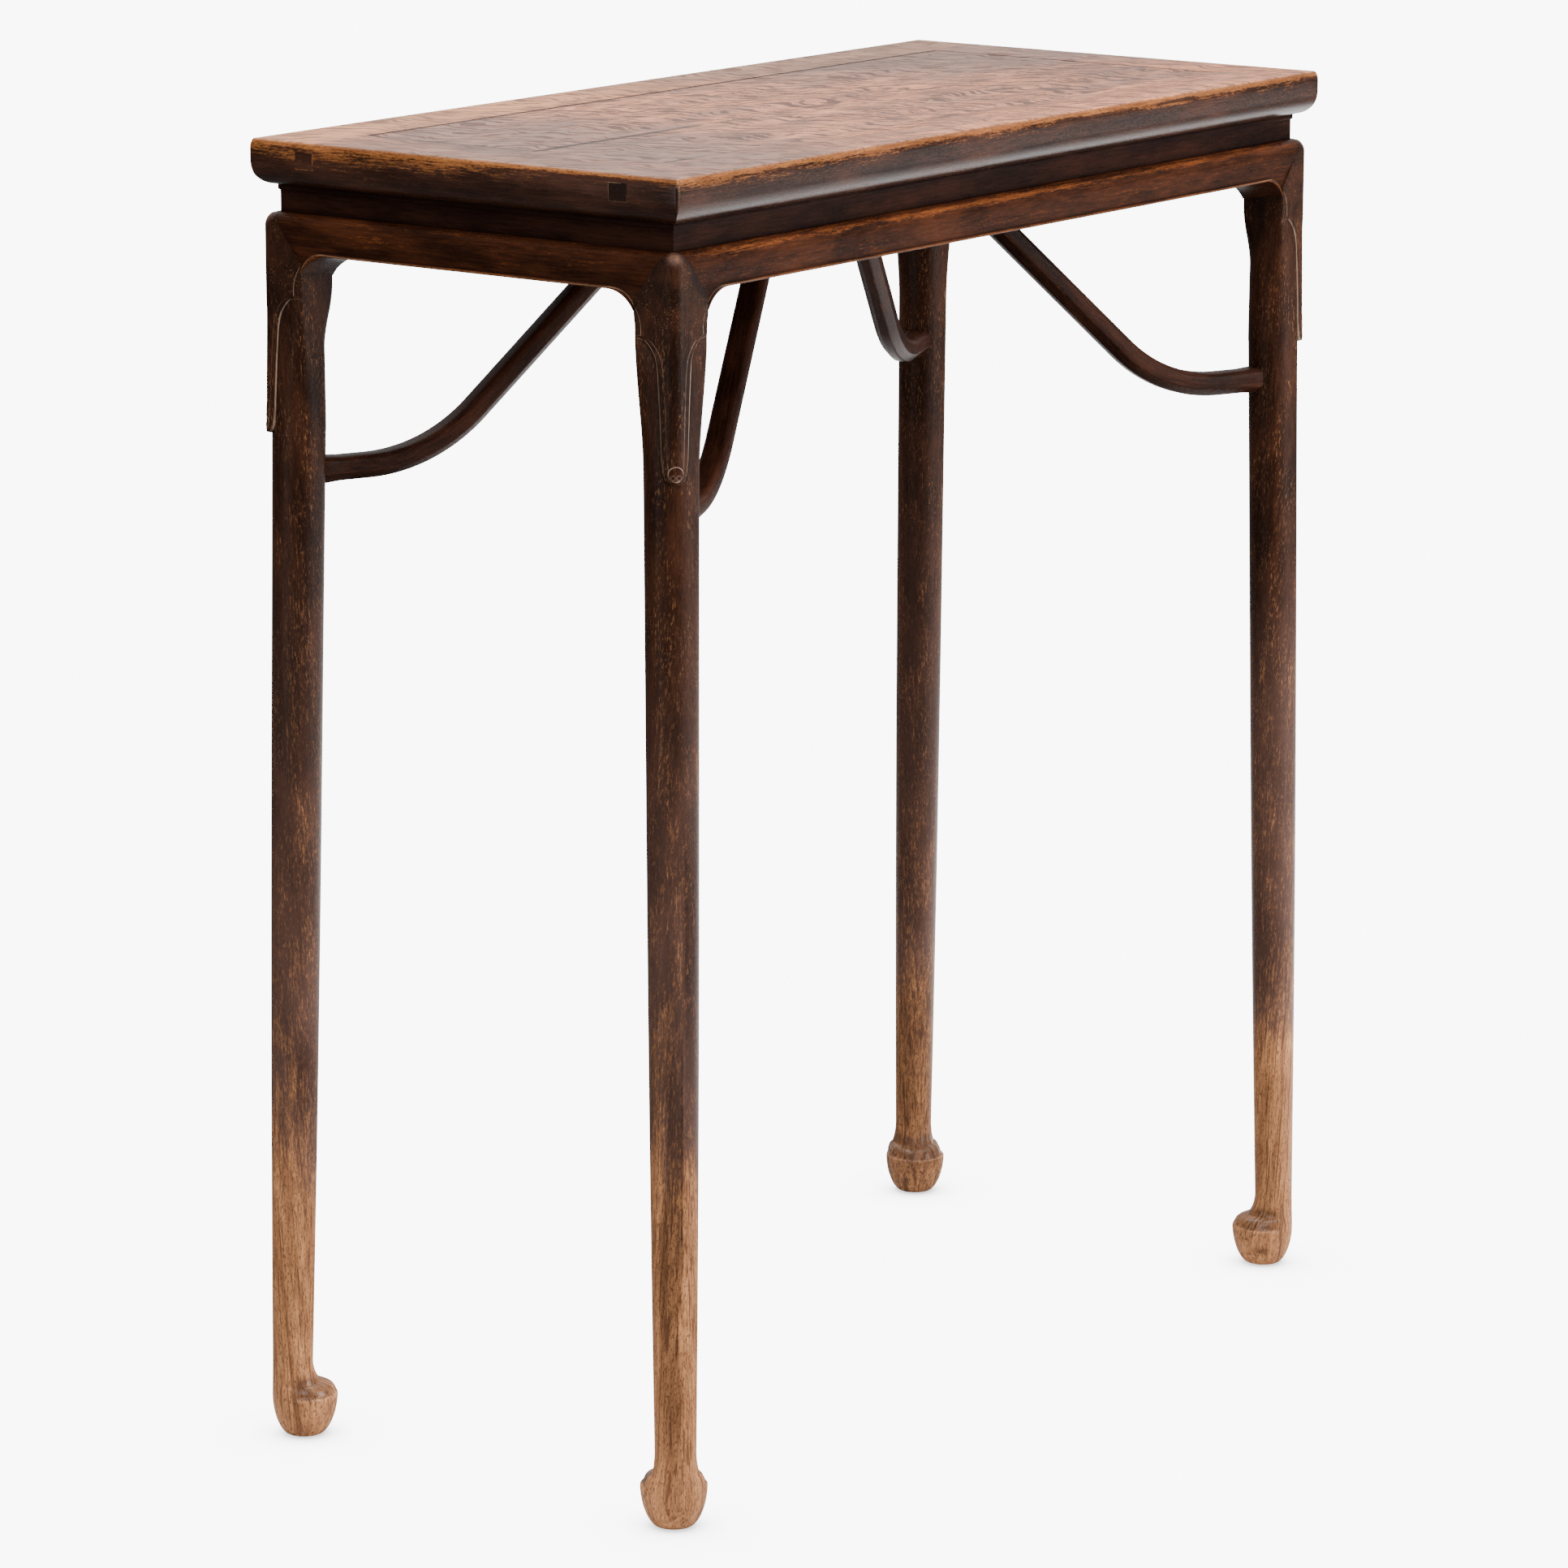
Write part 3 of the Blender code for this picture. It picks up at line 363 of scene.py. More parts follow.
TAN = (0.88, 0.398, 0.170)
TAN_SHADE = (0.36, 0.152, 0.070)
ORANGE = (0.42, 0.155, 0.044)
ORANGE_SHADE = (0.20, 0.060, 0.016)
TOP_BROWN = (0.78, 0.310, 0.156)
TOP_SHADE = (0.21, 0.070, 0.033)
TOP_GREY = (0.205, 0.126, 0.098)
WARM_RAIL = (0.56, 0.25, 0.115)
RELIEF_DEPTH = 0.4 * MM
PLAIN_FIGURE_SHARE = 0.16


def darker(colour, share):
    return tuple(share * part for part in colour)


def new_material(name):
    material = bpy.data.materials.new(name)
    material.use_nodes = True
    return material, material.node_tree, material.node_tree.nodes["Principled BSDF"]


def relief(height, strength):
    return add_node(height.tree, "ShaderNodeBump", {
        "Height": height, "Strength": strength, "Distance": RELIEF_DEPTH})


def warm_back_rail(place):
    """The back rail has kept a warmer, paler face towards its left end."""
    x, y, _ = place.split()
    return y.smooth(0.118, 0.124, 0.0, 0.7) * x.smooth(0.15, -0.15, 0.25, 1.0)


def lacquered_timber(name, lacquer, lacquer_light, bare, bare_dark, top=None, top_dark=None, waviness=0.5,
                     figure_width=60.0, figure_share=PLAIN_FIGURE_SHARE, breakup=0.8, softness=0.2,
                     roughness=(0.34, 0.5), specular=0.4, bump=0.3, fleck_share=0.12, line_share=0.0,
                     carved=None, rippled=False, thinned=None, polished=0.0):
    """Dark lacquer over timber, worn through where the mesh says so."""
    material, tree, shader = new_material(name)
    grain = read(tree, "grain", "Vector")
    rubbed = read(tree, "bare")
    figure, pores, mottle, streaks, flecks, lines = place_group(
        tree, TIMBER_FIGURE, grain, waviness, figure_width, figure_share)
    [worn] = place_group(tree, WORN_PATCHES, grain, rubbed, streaks, breakup, softness)
    coat = (streaks * 0.5 + mottle * 0.5).smooth(0.36, 0.66).between(lacquer, lacquer_light)
    if thinned:
        coat = rubbed.smooth(0.05, 0.36, 0.0, 0.85).between(coat, thinned)
    coat = (flecks * fleck_share).between(coat, bare)
    wood = (pores * 0.85).between(figure.between(bare_dark, bare), darker(bare_dark, 0.45))
    if line_share:
        wood = (lines * line_share).between(wood, darker(bare_dark, 0.5))
    rough = (mottle + worn * 0.25).smooth(0.35, 0.95, *roughness)
    height = streaks * 0.5 - (pores * 0.5 + worn * 0.6)
    if top:
        upper = read(tree, "top")
        place = object_place(tree)
        grey, ripples = place_group(tree, GREY_AND_SHEEN_TOP, place, grain)
        face = (pores * 0.6).between(figure.between(top_dark, top), top_dark)
        # Greyer near the left end and in patches, and over the far right part a painted sheen.
        face = grey.between(face, TOP_GREY)
        if rippled:
            height = height - ripples * 0.9
        else:
            face = warm_back_rail(place).between(face, WARM_RAIL)
        face = (ripples * (0.95 if rippled else 0.7)).between(face, darker(top_dark, 0.4))
        wood = upper.between(wood, face)
        rough = rough + upper * (0.12 if rippled else 0.22)
    colour = worn.between(coat, wood)
    if carved:
        edges = [read(tree, label) for label in ("leaf", "curl", "bead", "rub")]
        [line_mask] = place_group(tree, CARVED_EDGES, *edges, streaks)
        colour = line_mask.between(colour, carved)
    [soiled] = place_group(tree, DIRT_AND_SHADE, colour, read(tree, "dark"), mottle)
    feed(shader, {"Base Color": soiled, "Roughness": rough, "Specular IOR Level": specular})
    feed(shader, {"Normal": relief(height, bump)})
    if polished:
        feed(shader, {"Coat Weight": read(tree, "gloss") * polished, "Coat Roughness": 0.10})
    return material


def plain_timber(name, light, shade):
    """Sawn wood with no finish, for the pieces that only show from below."""
    material, tree, shader = new_material(name)
    figure, pores, mottle, streaks, _, _ = place_group(
        tree, TIMBER_FIGURE, object_place(tree), 0.4, 70.0, PLAIN_FIGURE_SHARE)
    feed(shader, {
        "Base Color": (pores * 0.5).between(figure.between(shade, light), shade),
        "Roughness": mottle.smooth(0.3, 0.7, 0.6, 0.8),
        "Normal": relief(streaks, 0.3),
    })
    return material


FRAME_FINISH = lacquered_timber(
    "worn_frame", (0.023, 0.0082, 0.0050), (0.072, 0.0265, 0.0150), ORANGE, ORANGE_SHADE, TOP_BROWN,
    TOP_SHADE, waviness=0.3, figure_width=90.0, figure_share=0.04, breakup=1.0, roughness=(0.2, 0.34),
    specular=0.31, bump=0.14)
BOARD_FINISH = lacquered_timber(
    "worn_top_boards", (0.088, 0.037, 0.023), (0.10, 0.035, 0.018), TOP_BROWN, TOP_SHADE, TOP_BROWN,
    TOP_SHADE, waviness=1.0, figure_width=95.0, figure_share=0.06, roughness=(0.28, 0.42), bump=0.45,
    rippled=True)
WAIST_FINISH = lacquered_timber(
    "dark_waist", (0.013, 0.0044, 0.0030), (0.038, 0.0125, 0.007), ORANGE, ORANGE_SHADE,
    fleck_share=0.0, specular=0.05)
APRON_FINISH = lacquered_timber(
    "rubbed_aprons", (0.023, 0.0074, 0.0037), (0.080, 0.0235, 0.0092), (0.25, 0.072, 0.018),
    (0.11, 0.030, 0.008), breakup=1.0, roughness=(0.27, 0.42), specular=0.07, carved=(0.50, 0.29, 0.17))
LEG_FINISH = lacquered_timber(
    "rubbed_legs", (0.018, 0.0056, 0.0026), (0.060, 0.0196, 0.0084), TAN, TAN_SHADE,
    waviness=0.35, figure_width=110.0, figure_share=0.05, breakup=0.70, softness=0.28, roughness=(0.34, 0.52),
    specular=0.13, fleck_share=0.20, line_share=0.75, carved=(0.62, 0.42, 0.30),
    thinned=(0.155, 0.085, 0.066), polished=0.55)
BRACE_FINISH = lacquered_timber(
    "dark_braces", (0.016, 0.0054, 0.0034), (0.060, 0.020, 0.010), (0.16, 0.050, 0.018), ORANGE_SHADE,
    specular=0.06)
END_GRAIN = lacquered_timber(
    "dark_end_grain", (0.016, 0.0070, 0.0048), (0.030, 0.012, 0.008), (0.26, 0.15, 0.09),
    (0.12, 0.065, 0.035), specular=0.12)
BATTEN_FINISH = plain_timber("sawn_batten", (0.20, 0.12, 0.07), (0.09, 0.05, 0.028))
PIN_FINISH = plain_timber("split_pin", (0.36, 0.23, 0.13), (0.2, 0.12, 0.06))


# Meshes

GRAIN_SHIFT = 0.37


class Shell:
    """Points and faces of one piece, with what the finishes read at each point."""

    def __init__(self, offset=0.0):
        self.offset = offset
        self.points = []
        self.faces = []
        self.finish_index = []
        self.grain = []
        self.values = {}

    def point(self, place, grain=(0, 0, 0), bare=0.0, dark=0.0, top=0.0, carved=None):
        self.points.append([MM * part for part in place])
        along, across, depth = [MM * part for part in grain]
        self.grain += (along + self.offset, across + GRAIN_SHIFT * self.offset, depth)
        for name, value in {"bare": bare, "dark": dark, "top": top, **(carved or {})}.items():
            self.values.setdefault(name, []).append(value)
        return len(self.points) - 1

    def face(self, corners, finish=0):
        self.faces.append(tuple(corners))
        self.finish_index.append(finish)

    def sweep(self, rows, outline, spot, finish=0):
        """A capped skin over rows of points; spot says what each corner of the outline is in a row."""
        rings = [[self.point(*spot(row, *corner)) for corner in outline] for row in rows]
        for below, above in zip(rings, rings[1:]):
            for i in range(len(below)):
                j = (i + 1) % len(below)
                self.face((below[i], below[j], above[j], above[i]), finish)
        self.face(reversed(rings[0]), finish)
        self.face(rings[-1], finish)


def face_outwards(mesh):
    shape = bmesh.new()
    shape.from_mesh(mesh)
    bmesh.ops.recalc_face_normals(shape, faces=shape.faces)
    shape.to_mesh(mesh)
    shape.free()


def solid_mesh(name, points, faces):
    mesh = bpy.data.meshes.new(name)
    mesh.from_pydata(points, [], faces)
    face_outwards(mesh)
    return mesh


def add_object(name, data):
    item = bpy.data.objects.new(name, data)
    bpy.context.scene.collection.objects.link(item)
    return item


def install(name, shell, finishes, node, sharp):
    mesh = bpy.data.meshes.new(name)
    mesh.from_pydata(shell.points, [], shell.faces)
    mesh.attributes.new("grain", "FLOAT_VECTOR", "POINT").data.foreach_set("vector", shell.grain)
    for label, values in shell.values.items():
        mesh.attributes.new(label, "FLOAT", "POINT").data.foreach_set("value", values)
    for finish in finishes:
        mesh.materials.append(finish)
    mesh.polygons.foreach_set("material_index", shell.finish_index)
    face_outwards(mesh)
    mesh.shade_smooth()
    mesh.set_sharp_from_angle(angle=radians(sharp))
    piece = add_object(name, mesh)
    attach(piece, "root")
    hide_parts(node)


def side_point(side, along, inset, z):
    angle, _, span = SIDES[side]
    out = inset - span / 2
    return (along * cos(angle) - out * sin(angle), along * sin(angle) + out * cos(angle), z)


def wobble(seed, u, v):
    """A slow unevenness between -1 and 1, as hand planing leaves."""
    return noise.noise(Vector((u * MM + 7.3 * seed, v * MM - 3.1 * seed, 1.7 * seed)))


# Top frame

EASE_WIDTH = 3.4
EASE_HEIGHT = 7.2
EASE_STEPS = 10
BAND_HEIGHT = 6.4
BAND_BOTTOM = TABLE_HEIGHT - EASE_HEIGHT - BAND_HEIGHT
UNDERCUT_WIDTH = 12
UNDERCUT_HEIGHT = BAND_BOTTOM - FRAME_UNDERSIDE
UNDERCUT_STEPS = 16
MITRE_GAP = 0.02
FRAME_CORNER_RADIUS = 2.4
RAIL_ROW_STEP = 9.1
RAIL_WAVE = 0.18
RAIL_WAVE_WIDTH = 30
TOP_FACE_INSET = 5
TOP_FACE_DROP = 0.05
SEAM_GRIME = {"front": 0.15, "right": 0.35, "back": 0.75, "left": 0.8}
TENON_INSET = 46.85
TENON_LEVEL = 868.3
TENON_HALF_WIDTH = 7.35
TENON_HALF_HEIGHT = 6
# How far it stands out and draws in, and how rubbed it is, from the root to the end
TENON_ROWS = ((-2, 0.0, 0.0), (0.06, 0.0, 1.0), (0.12, 0.3, 1.0), (0.12, 0.6, 0.0))
TENON_CORNERS = ((-1, -1), (1, -1), (1, 0), (1, 1), (-1, 1), (-1, 0))


def rail_outline():
    """The moulded edge from the top inwards: list of (inset, height)."""
    inner = (HAIRLINE, 1.2, RAIL_WIDTH * 0.4, RAIL_WIDTH - 9)
    outline = [(RAIL_WIDTH - step, TABLE_HEIGHT) for step in inner]
    for i in range(EASE_STEPS + 1):
        angle = pi / 2 * i / EASE_STEPS
        outline.append((EASE_WIDTH * (1 - sin(angle)), TABLE_HEIGHT - EASE_HEIGHT + EASE_HEIGHT * cos(angle)))
    for i in range(1, UNDERCUT_STEPS + 1):
        angle = pi / 2 * i / UNDERCUT_STEPS
        outline.append((UNDERCUT_WIDTH * (1 - cos(angle)), BAND_BOTTOM - UNDERCUT_HEIGHT * sin(angle)))
    return outline + [(RAIL_WIDTH * 0.5, FRAME_UNDERSIDE), (RAIL_WIDTH - HAIRLINE, FRAME_UNDERSIDE)]


def rail_wear(side, inset, z, along):
    """Bare, dark and top values on the frame."""
    drop = TABLE_HEIGHT - z
    if drop < TOP_FACE_DROP and inset > TOP_FACE_INSET:
        seam = SEAM_GRIME[side] * ramp(inset, RAIL_WIDTH - 1.5, RAIL_WIDTH - 0.4)
        return mix(0.98, 0.80, ramp(inset, TOP_FACE_INSET, 22)), seam, 1.0
    if side in LONG_SIDES:
        rubbed = mix(0.48, 0.32, ramp(along, -250, 60))
        bare = mix(1.0, rubbed, ramp(drop, 2.0, 4.6)) - 0.45 * ramp(drop, 6, 10)
        sliver = ramp(along, 160, 172) * (1 - ramp(along, 205, 216))
        bare += sliver * (0.4 * line(drop - 6, 0.9) - 0.5 * line(drop - 3.5, 1.2))
    else:
        rubbed = mix(0.52, 0.26, ramp(along, -60, 110)) if side == "left" else 0.42
        bare = mix(1.0, rubbed, ramp(drop, 1.0, 4.0)) - 0.45 * ramp(drop, 9, 19)
    return bare, 0.0, 1 - ramp(drop, TOP_FACE_DROP, 1.0)


def rail_rows(length):
    """For each row of points along a rail, a function from the inset to (along, depth)."""
    radius = FRAME_CORNER_RADIUS
    straight = length / 2 - RAIL_WIDTH - 5

    def fan(inset):
        return min(3, 0.5 * max(0.0, inset - radius))

    def run_in(end, share):
        def place(inset):
            mitre = length / 2 - max(inset, radius) - fan(inset)
            return end * mix(straight, mitre, share), inset
        return place

    def round_off(end, share):
        def place(inset):
            angle = pi / 4 * share
            gap = MITRE_GAP * share
            spare = radius - inset
            if spare > 0:
                return end * (length / 2 - radius + spare * sin(angle) - gap), radius - spare * cos(angle)
            return end * (length / 2 - inset - fan(inset) * (1 - share) - gap), inset
        return place

    def corner(end):
        return [run_in(end, i / 6) for i in range(1, 7)] + [round_off(end, i / 5) for i in range(1, 6)]

    middle = spread(-straight, straight, int(length / RAIL_ROW_STEP))
    return corner(-1)[::-1] + [lambda inset, a=along: (a, inset) for along in middle] + corner(1)


def make_rail(side, offset):
    def spot(row, inset, z):
        along, depth = row(inset)
        wave = RAIL_WAVE * wobble(offset, along * 9, z * 40) if inset < RAIL_WAVE_WIDTH else 0.0
        place = side_point(side, along, depth + max(0.0, wave), z)
        return place, (along, inset + TABLE_HEIGHT - z, z), *rail_wear(side, inset, z, along)

    shell = Shell(offset)
    shell.sweep(rail_rows(SIDES[side][1]), rail_outline(), spot)
    finishes = [FRAME_FINISH]
    if side in LONG_SIDES:
        finishes.append(END_GRAIN)
        for end in (-1, 1):
            add_tenon_end(shell, side, end)
    install(f"edge_rail_{side}", shell, finishes, f"top_rail_{side}", sharp=50)


def add_tenon_end(shell, side, end):
    """The end of the through tenon, showing as a dark square on the short edge of the frame."""
    near = side == "front"

    def spot(row, right, up):
        proud, shrink, rubbed = row
        inset = TENON_INSET + right * (TENON_HALF_WIDTH - shrink)
        z = TENON_LEVEL + up * (TENON_HALF_HEIGHT - shrink)
        drop = max(0.0, BAND_BOTTOM - z) / UNDERCUT_HEIGHT
        curve = UNDERCUT_WIDTH * (1 - sqrt(max(0.0, 1 - drop ** 2)))
        bare = rubbed if up < 0 or right > 0 else 0.2
        place = side_point(side, end * (SIDES[side][1] / 2 - curve + proud), inset, z)
        return place, (inset, z, 0.0), bare if near else 0.6 * bare

    shell.sweep(TENON_ROWS, TENON_CORNERS, spot, finish=1 if near else 0)


# Top boards

FRONT_SPLITS = ((-336, -275, 0.7), (-32, 9, 0.6), (113, 324, 0.16))
FRONT_GAP = 0.07
JOINT_GAP = 0.55
BACK_GAP = 0.5
BOARD_STEPS = 120
SEAM_REACH = 2
PANEL_HALF_LENGTH = TOP_LENGTH / 2 - RAIL_WIDTH
PANEL_HALF_DEPTH = TOP_DEPTH / 2 - RAIL_WIDTH
# Depth below the top, how far it draws in, share of the seam's dirt and bare
BOARD_ROWS = (
    (TABLE_HEIGHT - PANEL_UNDERSIDE, 0.0, 0.0, 0.2), (0.55, 0.0, 1.0, 0.85), (0.25, 0.1, 1.0, 0.85),
    (0.15, 1.8, 1.0, 0.85), (0.14, 4.5, 0.0, 0.85))


def front_seam(x):
    gap = FRONT_GAP
    for low, high, width in FRONT_SPLITS:
        share = (x - low) / (high - low)
        if 0 < share < 1:
            gap = max(gap, width * sin(pi * share) ** 0.7)
    return gap


def joint_seam(x):
    return mix(JOINT_GAP, 0.06, ramp(x, -200, -120))


def board_grime(x, y):
    """Dirt in the seams around the boards, deepest where they have opened."""
    if abs(x) > PANEL_HALF_LENGTH - 1:
        return 0.8 if x < 0 and y > BOARD_JOINT_Y else 0.2
    if y > PANEL_HALF_DEPTH - SEAM_REACH:
        return 0.8
    if y < -PANEL_HALF_DEPTH + SEAM_REACH:
        return 0.12 + 0.8 * min(1.0, front_seam(x) / 0.6)
    return 0.15 + 0.7 * joint_seam(x) / JOINT_GAP


def make_board(word, offset):
    xs = spread(-PANEL_HALF_LENGTH + 0.35, PANEL_HALF_LENGTH - 0.2, BOARD_STEPS)
    if word == "front":
        outline = [(x, -PANEL_HALF_DEPTH + front_seam(x)) for x in xs]
        outline += [(x, BOARD_JOINT_Y - joint_seam(x) / 2) for x in reversed(xs)]
        middle = (-PANEL_HALF_DEPTH + BOARD_JOINT_Y) / 2
    else:
        outline = [(x, BOARD_JOINT_Y + joint_seam(x) / 2) for x in xs]
        outline += [(x, PANEL_HALF_DEPTH - BACK_GAP) for x in reversed(xs)]
        middle = (PANEL_HALF_DEPTH + BOARD_JOINT_Y) / 2

    def spot(row, x, y):
        drop, shrink, dirty, bare = row
        z = TABLE_HEIGHT - drop
        place = (x - shrink if x > 0 else x + shrink, y - shrink if y > middle else y + shrink, z)
        # Dark: dirt in the seams, and towards the right end painted shade.
        return place, (x, y, z), bare, max(dirty * board_grime(x, y), 0.22 * ramp(x, 80, 330)), 1.0

    shell = Shell(offset)
    shell.sweep(BOARD_ROWS, outline, spot)
    install(f"top_board_{word}", shell, [BOARD_FINISH], f"panel_board_{word}", sharp=30)


# Waist

WAIST_ROW_STEP = 12
WAIST_WAVE = 0.12
WAIST_BARE = -0.05
WAIST_TOP = FRAME_UNDERSIDE - HAIRLINE
# How far in front of the face and below the top
WAIST_MOULDING = ((0, 4.2), (0.1, 3.9), (0.9, 3.6), (1.1, 3.2), (1.1, 0.3), (0.9, 0))


def make_waist_board(side, offset):
    length = SIDES[side][1]
    back = WAIST_INSET + WAIST_THICKNESS
    outline = [(back, WAIST_SEAT + CLEARANCE), (WAIST_INSET, WAIST_SEAT + CLEARANCE)]
    outline += [(WAIST_INSET, APRON_TOP + rise) for rise in (0.4, 5, 9)]
    outline += [(WAIST_INSET - out, WAIST_TOP - drop) for out, drop in WAIST_MOULDING]
    outline.append((back, WAIST_TOP))

    def spot(share, inset, z):
        along = share * (length / 2 - inset - HAIRLINE)
        wave = WAIST_WAVE * wobble(offset, along * 10, z * 60)
        # Darker along the joint with the apron, and towards the top a painted shadow of the frame above.
        dark = 0.5 * line(z - APRON_TOP, 2.5) + 0.3 * ramp(z, WAIST_TOP - 6, WAIST_TOP)
        return side_point(side, along, inset + wave, z), (along, z, inset), WAIST_BARE, dark

    shell = Shell(offset)
    shell.sweep(spread(-1.0, 1.0, int(length / WAIST_ROW_STEP)), outline, spot)
    install(f"waist_board_{side}", shell, [WAIST_FINISH], f"waist_{side}", sharp=50)


# Aprons and the mitres between them and the legs

def shoulder(z):
    rise = max(0.0, z - APRON_TOP + SHOULDER_HEIGHT) / SHOULDER_HEIGHT
    return SHOULDER_DEPTH * (1 - sqrt(max(0.0, 1 - rise * rise)))


def spandrel_height(p):
    reach = SPANDREL_FOOT + SPANDREL_WIDTH - p
    if reach <= 0:
        return APRON_BOTTOM
    share = min(1.0, reach / SPANDREL_WIDTH)
    return SPANDREL_BASE + SPANDREL_HEIGHT * sqrt(1 - share * share)


def spandrel_reach(z):
    share = min(1.0, max(0.0, (z - SPANDREL_BASE) / SPANDREL_HEIGHT))
    return SPANDREL_FOOT + SPANDREL_WIDTH * (1 - sqrt(1 - share * share))


MITRE_FOOT = 36
MITRE_HEAD = 10.4
MITRE_SLOPE = (MITRE_FOOT - MITRE_HEAD) / (APRON_TOP - spandrel_height(MITRE_FOOT))
MITRE_ROUNDS = 60
APRON_SEAT = LEG_HEAD + 0.2
APRON_HEIGHT = APRON_TOP - APRON_BOTTOM
APRON_REBATE = APRON_HEIGHT - 5.7
APRON_ROW_STEP = 10
APRON_WAVE = 0.15
WING_DEPTH = LEG_HEAD - 1.5
WING_DROP = 5
NOT_NEAR = 9
# How far behind the face and over the lower edge, then bare and dark
APRON_BEAD = (
    (0.9, 0.0, 0.35, 0.0), (0.35, 0.15, 0.75, 0.0), (0.05, 0.6, 0.95, 0.0), (0.0, 1.1, 0.85, 0.0),
    (0.1, 1.6, 0.55, 0.0), (0.7, 2.0, 0.1, 0.5), (1.3, 2.35, 0.0, 0.7), (1.35, 2.9, 0.1, 0.3))


def mitre_reach(z):
    return MITRE_HEAD + MITRE_SLOPE * (APRON_TOP - z)


def apron_outline(rubbed):
    """Section: (depth behind the face, height over the lower edge, follows that edge, bare, dark)."""
    bulge_top = APRON_HEIGHT - SHOULDER_HEIGHT
    points = [(APRON_THICKNESS, 0.0, True, 0.1, 0.3), (APRON_THICKNESS * 0.5, 0.0, True, 0.1, 0.2)]
    points += [(depth, height, True, *wear) for depth, height, *wear in APRON_BEAD]
    for share in (0.0, 0.2, 0.4, 0.6, 0.8, 1.0):
        level = mix(4.5, bulge_top, share)
        points.append((1.2 * (1 - share) ** 2, level, False, mix(0.12, 0.22, share), 0.0))
    for i in range(1, 11):
        level = bulge_top + SHOULDER_HEIGHT * sin(pi / 2 * i / 10)
        streak = 0.18 + rubbed * (line(i - 5, 1.6) + 0.8 * line(i - 8.5, 0.9))
        points.append((shoulder(APRON_BOTTOM + level), level, False, streak, 0.35 * ramp(i, 9, 10)))
    lip = ((APRON_LIP, APRON_HEIGHT), (APRON_LIP, APRON_REBATE), (APRON_THICKNESS, APRON_REBATE))
    return points + [(depth, height, False, 0.0, 0.6) for depth, height in lip]


def apron_end(height, follows):
    """How far from the leg's outer face a line of the section ends at the mitre."""
    if not follows:
        return min(mitre_reach(APRON_BOTTOM + height), LEG_HEAD) + HAIRLINE
    p = MITRE_FOOT
    for _ in range(MITRE_ROUNDS):
        p += 0.5 * (min(mitre_reach(spandrel_height(p) + height), LEG_HEAD) + HAIRLINE - p)
    return p


def make_apron(side, offset):
    half = SIDES[side][1] / 2 - APRON_INSET
    spring = SPANDREL_FOOT + SPANDREL_WIDTH
    outline = apron_outline(0.42 if side in LONG_SIDES else 0.12)
    outline = [(apron_end(*corner[1:3]), *corner) for corner in outline]
    bright = 0.6 if side == "front" else 1.0

    def spot(row, end, depth, height, follows, bare, dark):
        reach, behind, sign = row
        p = reach(end)
        z = (spandrel_height(p) if follows else APRON_BOTTOM) + height
        if depth == APRON_THICKNESS and follows and behind == WING_DEPTH:
            wing = 1 - ramp(p, 42, 72)
            depth = mix(APRON_THICKNESS, WING_DEPTH, wing)
            z -= WING_DROP * wing
        depth = min(depth, behind)
        along = sign * (half - p)
        wave = APRON_WAVE * wobble(offset, along * 12, z * 50) if 0 < depth < APRON_LIP else 0.0
        crest = mix(0.0, 2.1, ramp(p, 36, 60))
        carved = {
            "leaf": -NOT_NEAR,
            "curl": NOT_NEAR,
            "bead": height + crest if follows else NOT_NEAR,
            "rub": mix(bright, 0.3 * bright, ramp(p, 60, 130)),
        }
        place = side_point(side, along, APRON_INSET + depth + wave, z)
        return place, (along, z + depth, depth), bare * mix(0.7, 1.0, ramp(p, 30, 90)), dark, 0.0, carved

    def run(sign):
        lip = [lambda end, s=share: mix(end, APRON_SEAT, s) for share in spread(0, 1, 4)]
        wing = [lambda end, s=share: mix(APRON_SEAT, spring, s) for share in spread(0, 1, 12)]
        rows = [(reach, APRON_LIP - 0.1, sign) for reach in lip]
        return rows + [(reach, WING_DEPTH, sign) for reach in wing]

    steps = int(2 * (half - spring) / APRON_ROW_STEP)
    middle = [(lambda end, a=along: half - abs(a), WING_DEPTH, -1 if along < 0 else 1)
              for along in spread(spring - half, half - spring, steps)[1:-1]]
    shell = Shell(offset)
    shell.sweep(run(-1) + middle + run(1)[::-1], outline, spot)
    install(f"shaped_apron_{side}", shell, [APRON_FINISH], f"apron_{side}", sharp=45)


# Legs. A point of a leg is given by its height, its angle from the outward diagonal, positive towards
# the long side, and its distance from the leg's axis.

# Height and half width of the leaf
LEAF_EDGE = (
    (687.2, 1.5), (687.8, 4.0), (689.3, 6.0), (693.0, 7.5), (703.0, 8.5), (735.0, 9.5), (756.0, 10.4),
    (764.0, 11.2), (768.0, 12.3), (772.0, 14.2), (775.0, 16.2), (778.0, 19.0))
LEAF_FOOT = LEAF_EDGE[0][0]
LEAF_HEAD = 778
LEAF_STEP = 0.75
LEAF_HOLLOW = 0.32
ROUNDEL_HEIGHT = 694.0
ROUNDEL_RADIUS = 4.8
CURL_RADIUS = 1.4
CURL_RIDGE = 0.30
BEAD_GROOVE = 0.5
# Low, high and step: degrees from the diagonal, and height
ANGLE_STEPS = ((0, 42, 1.5), (42, 80, 2.0), (80, 100, 1.25), (100, 170, 7.0), (170, 180, 2.5))
HEIGHT_STEPS = (
    (0.0, 2.0, 0.5), (2.0, 26.0, 2.0), (26.0, 44.0, 0.8), (44.0, 56.0, 1.5), (56.0, 685.0, 17.0),
    (685.0, 712.0, 0.6), (712.0, 765.0, 1.6), (765.0, 800.0, 0.9), (800.0, 823.0, 1.6), (823.0, 832.0, 0.75))


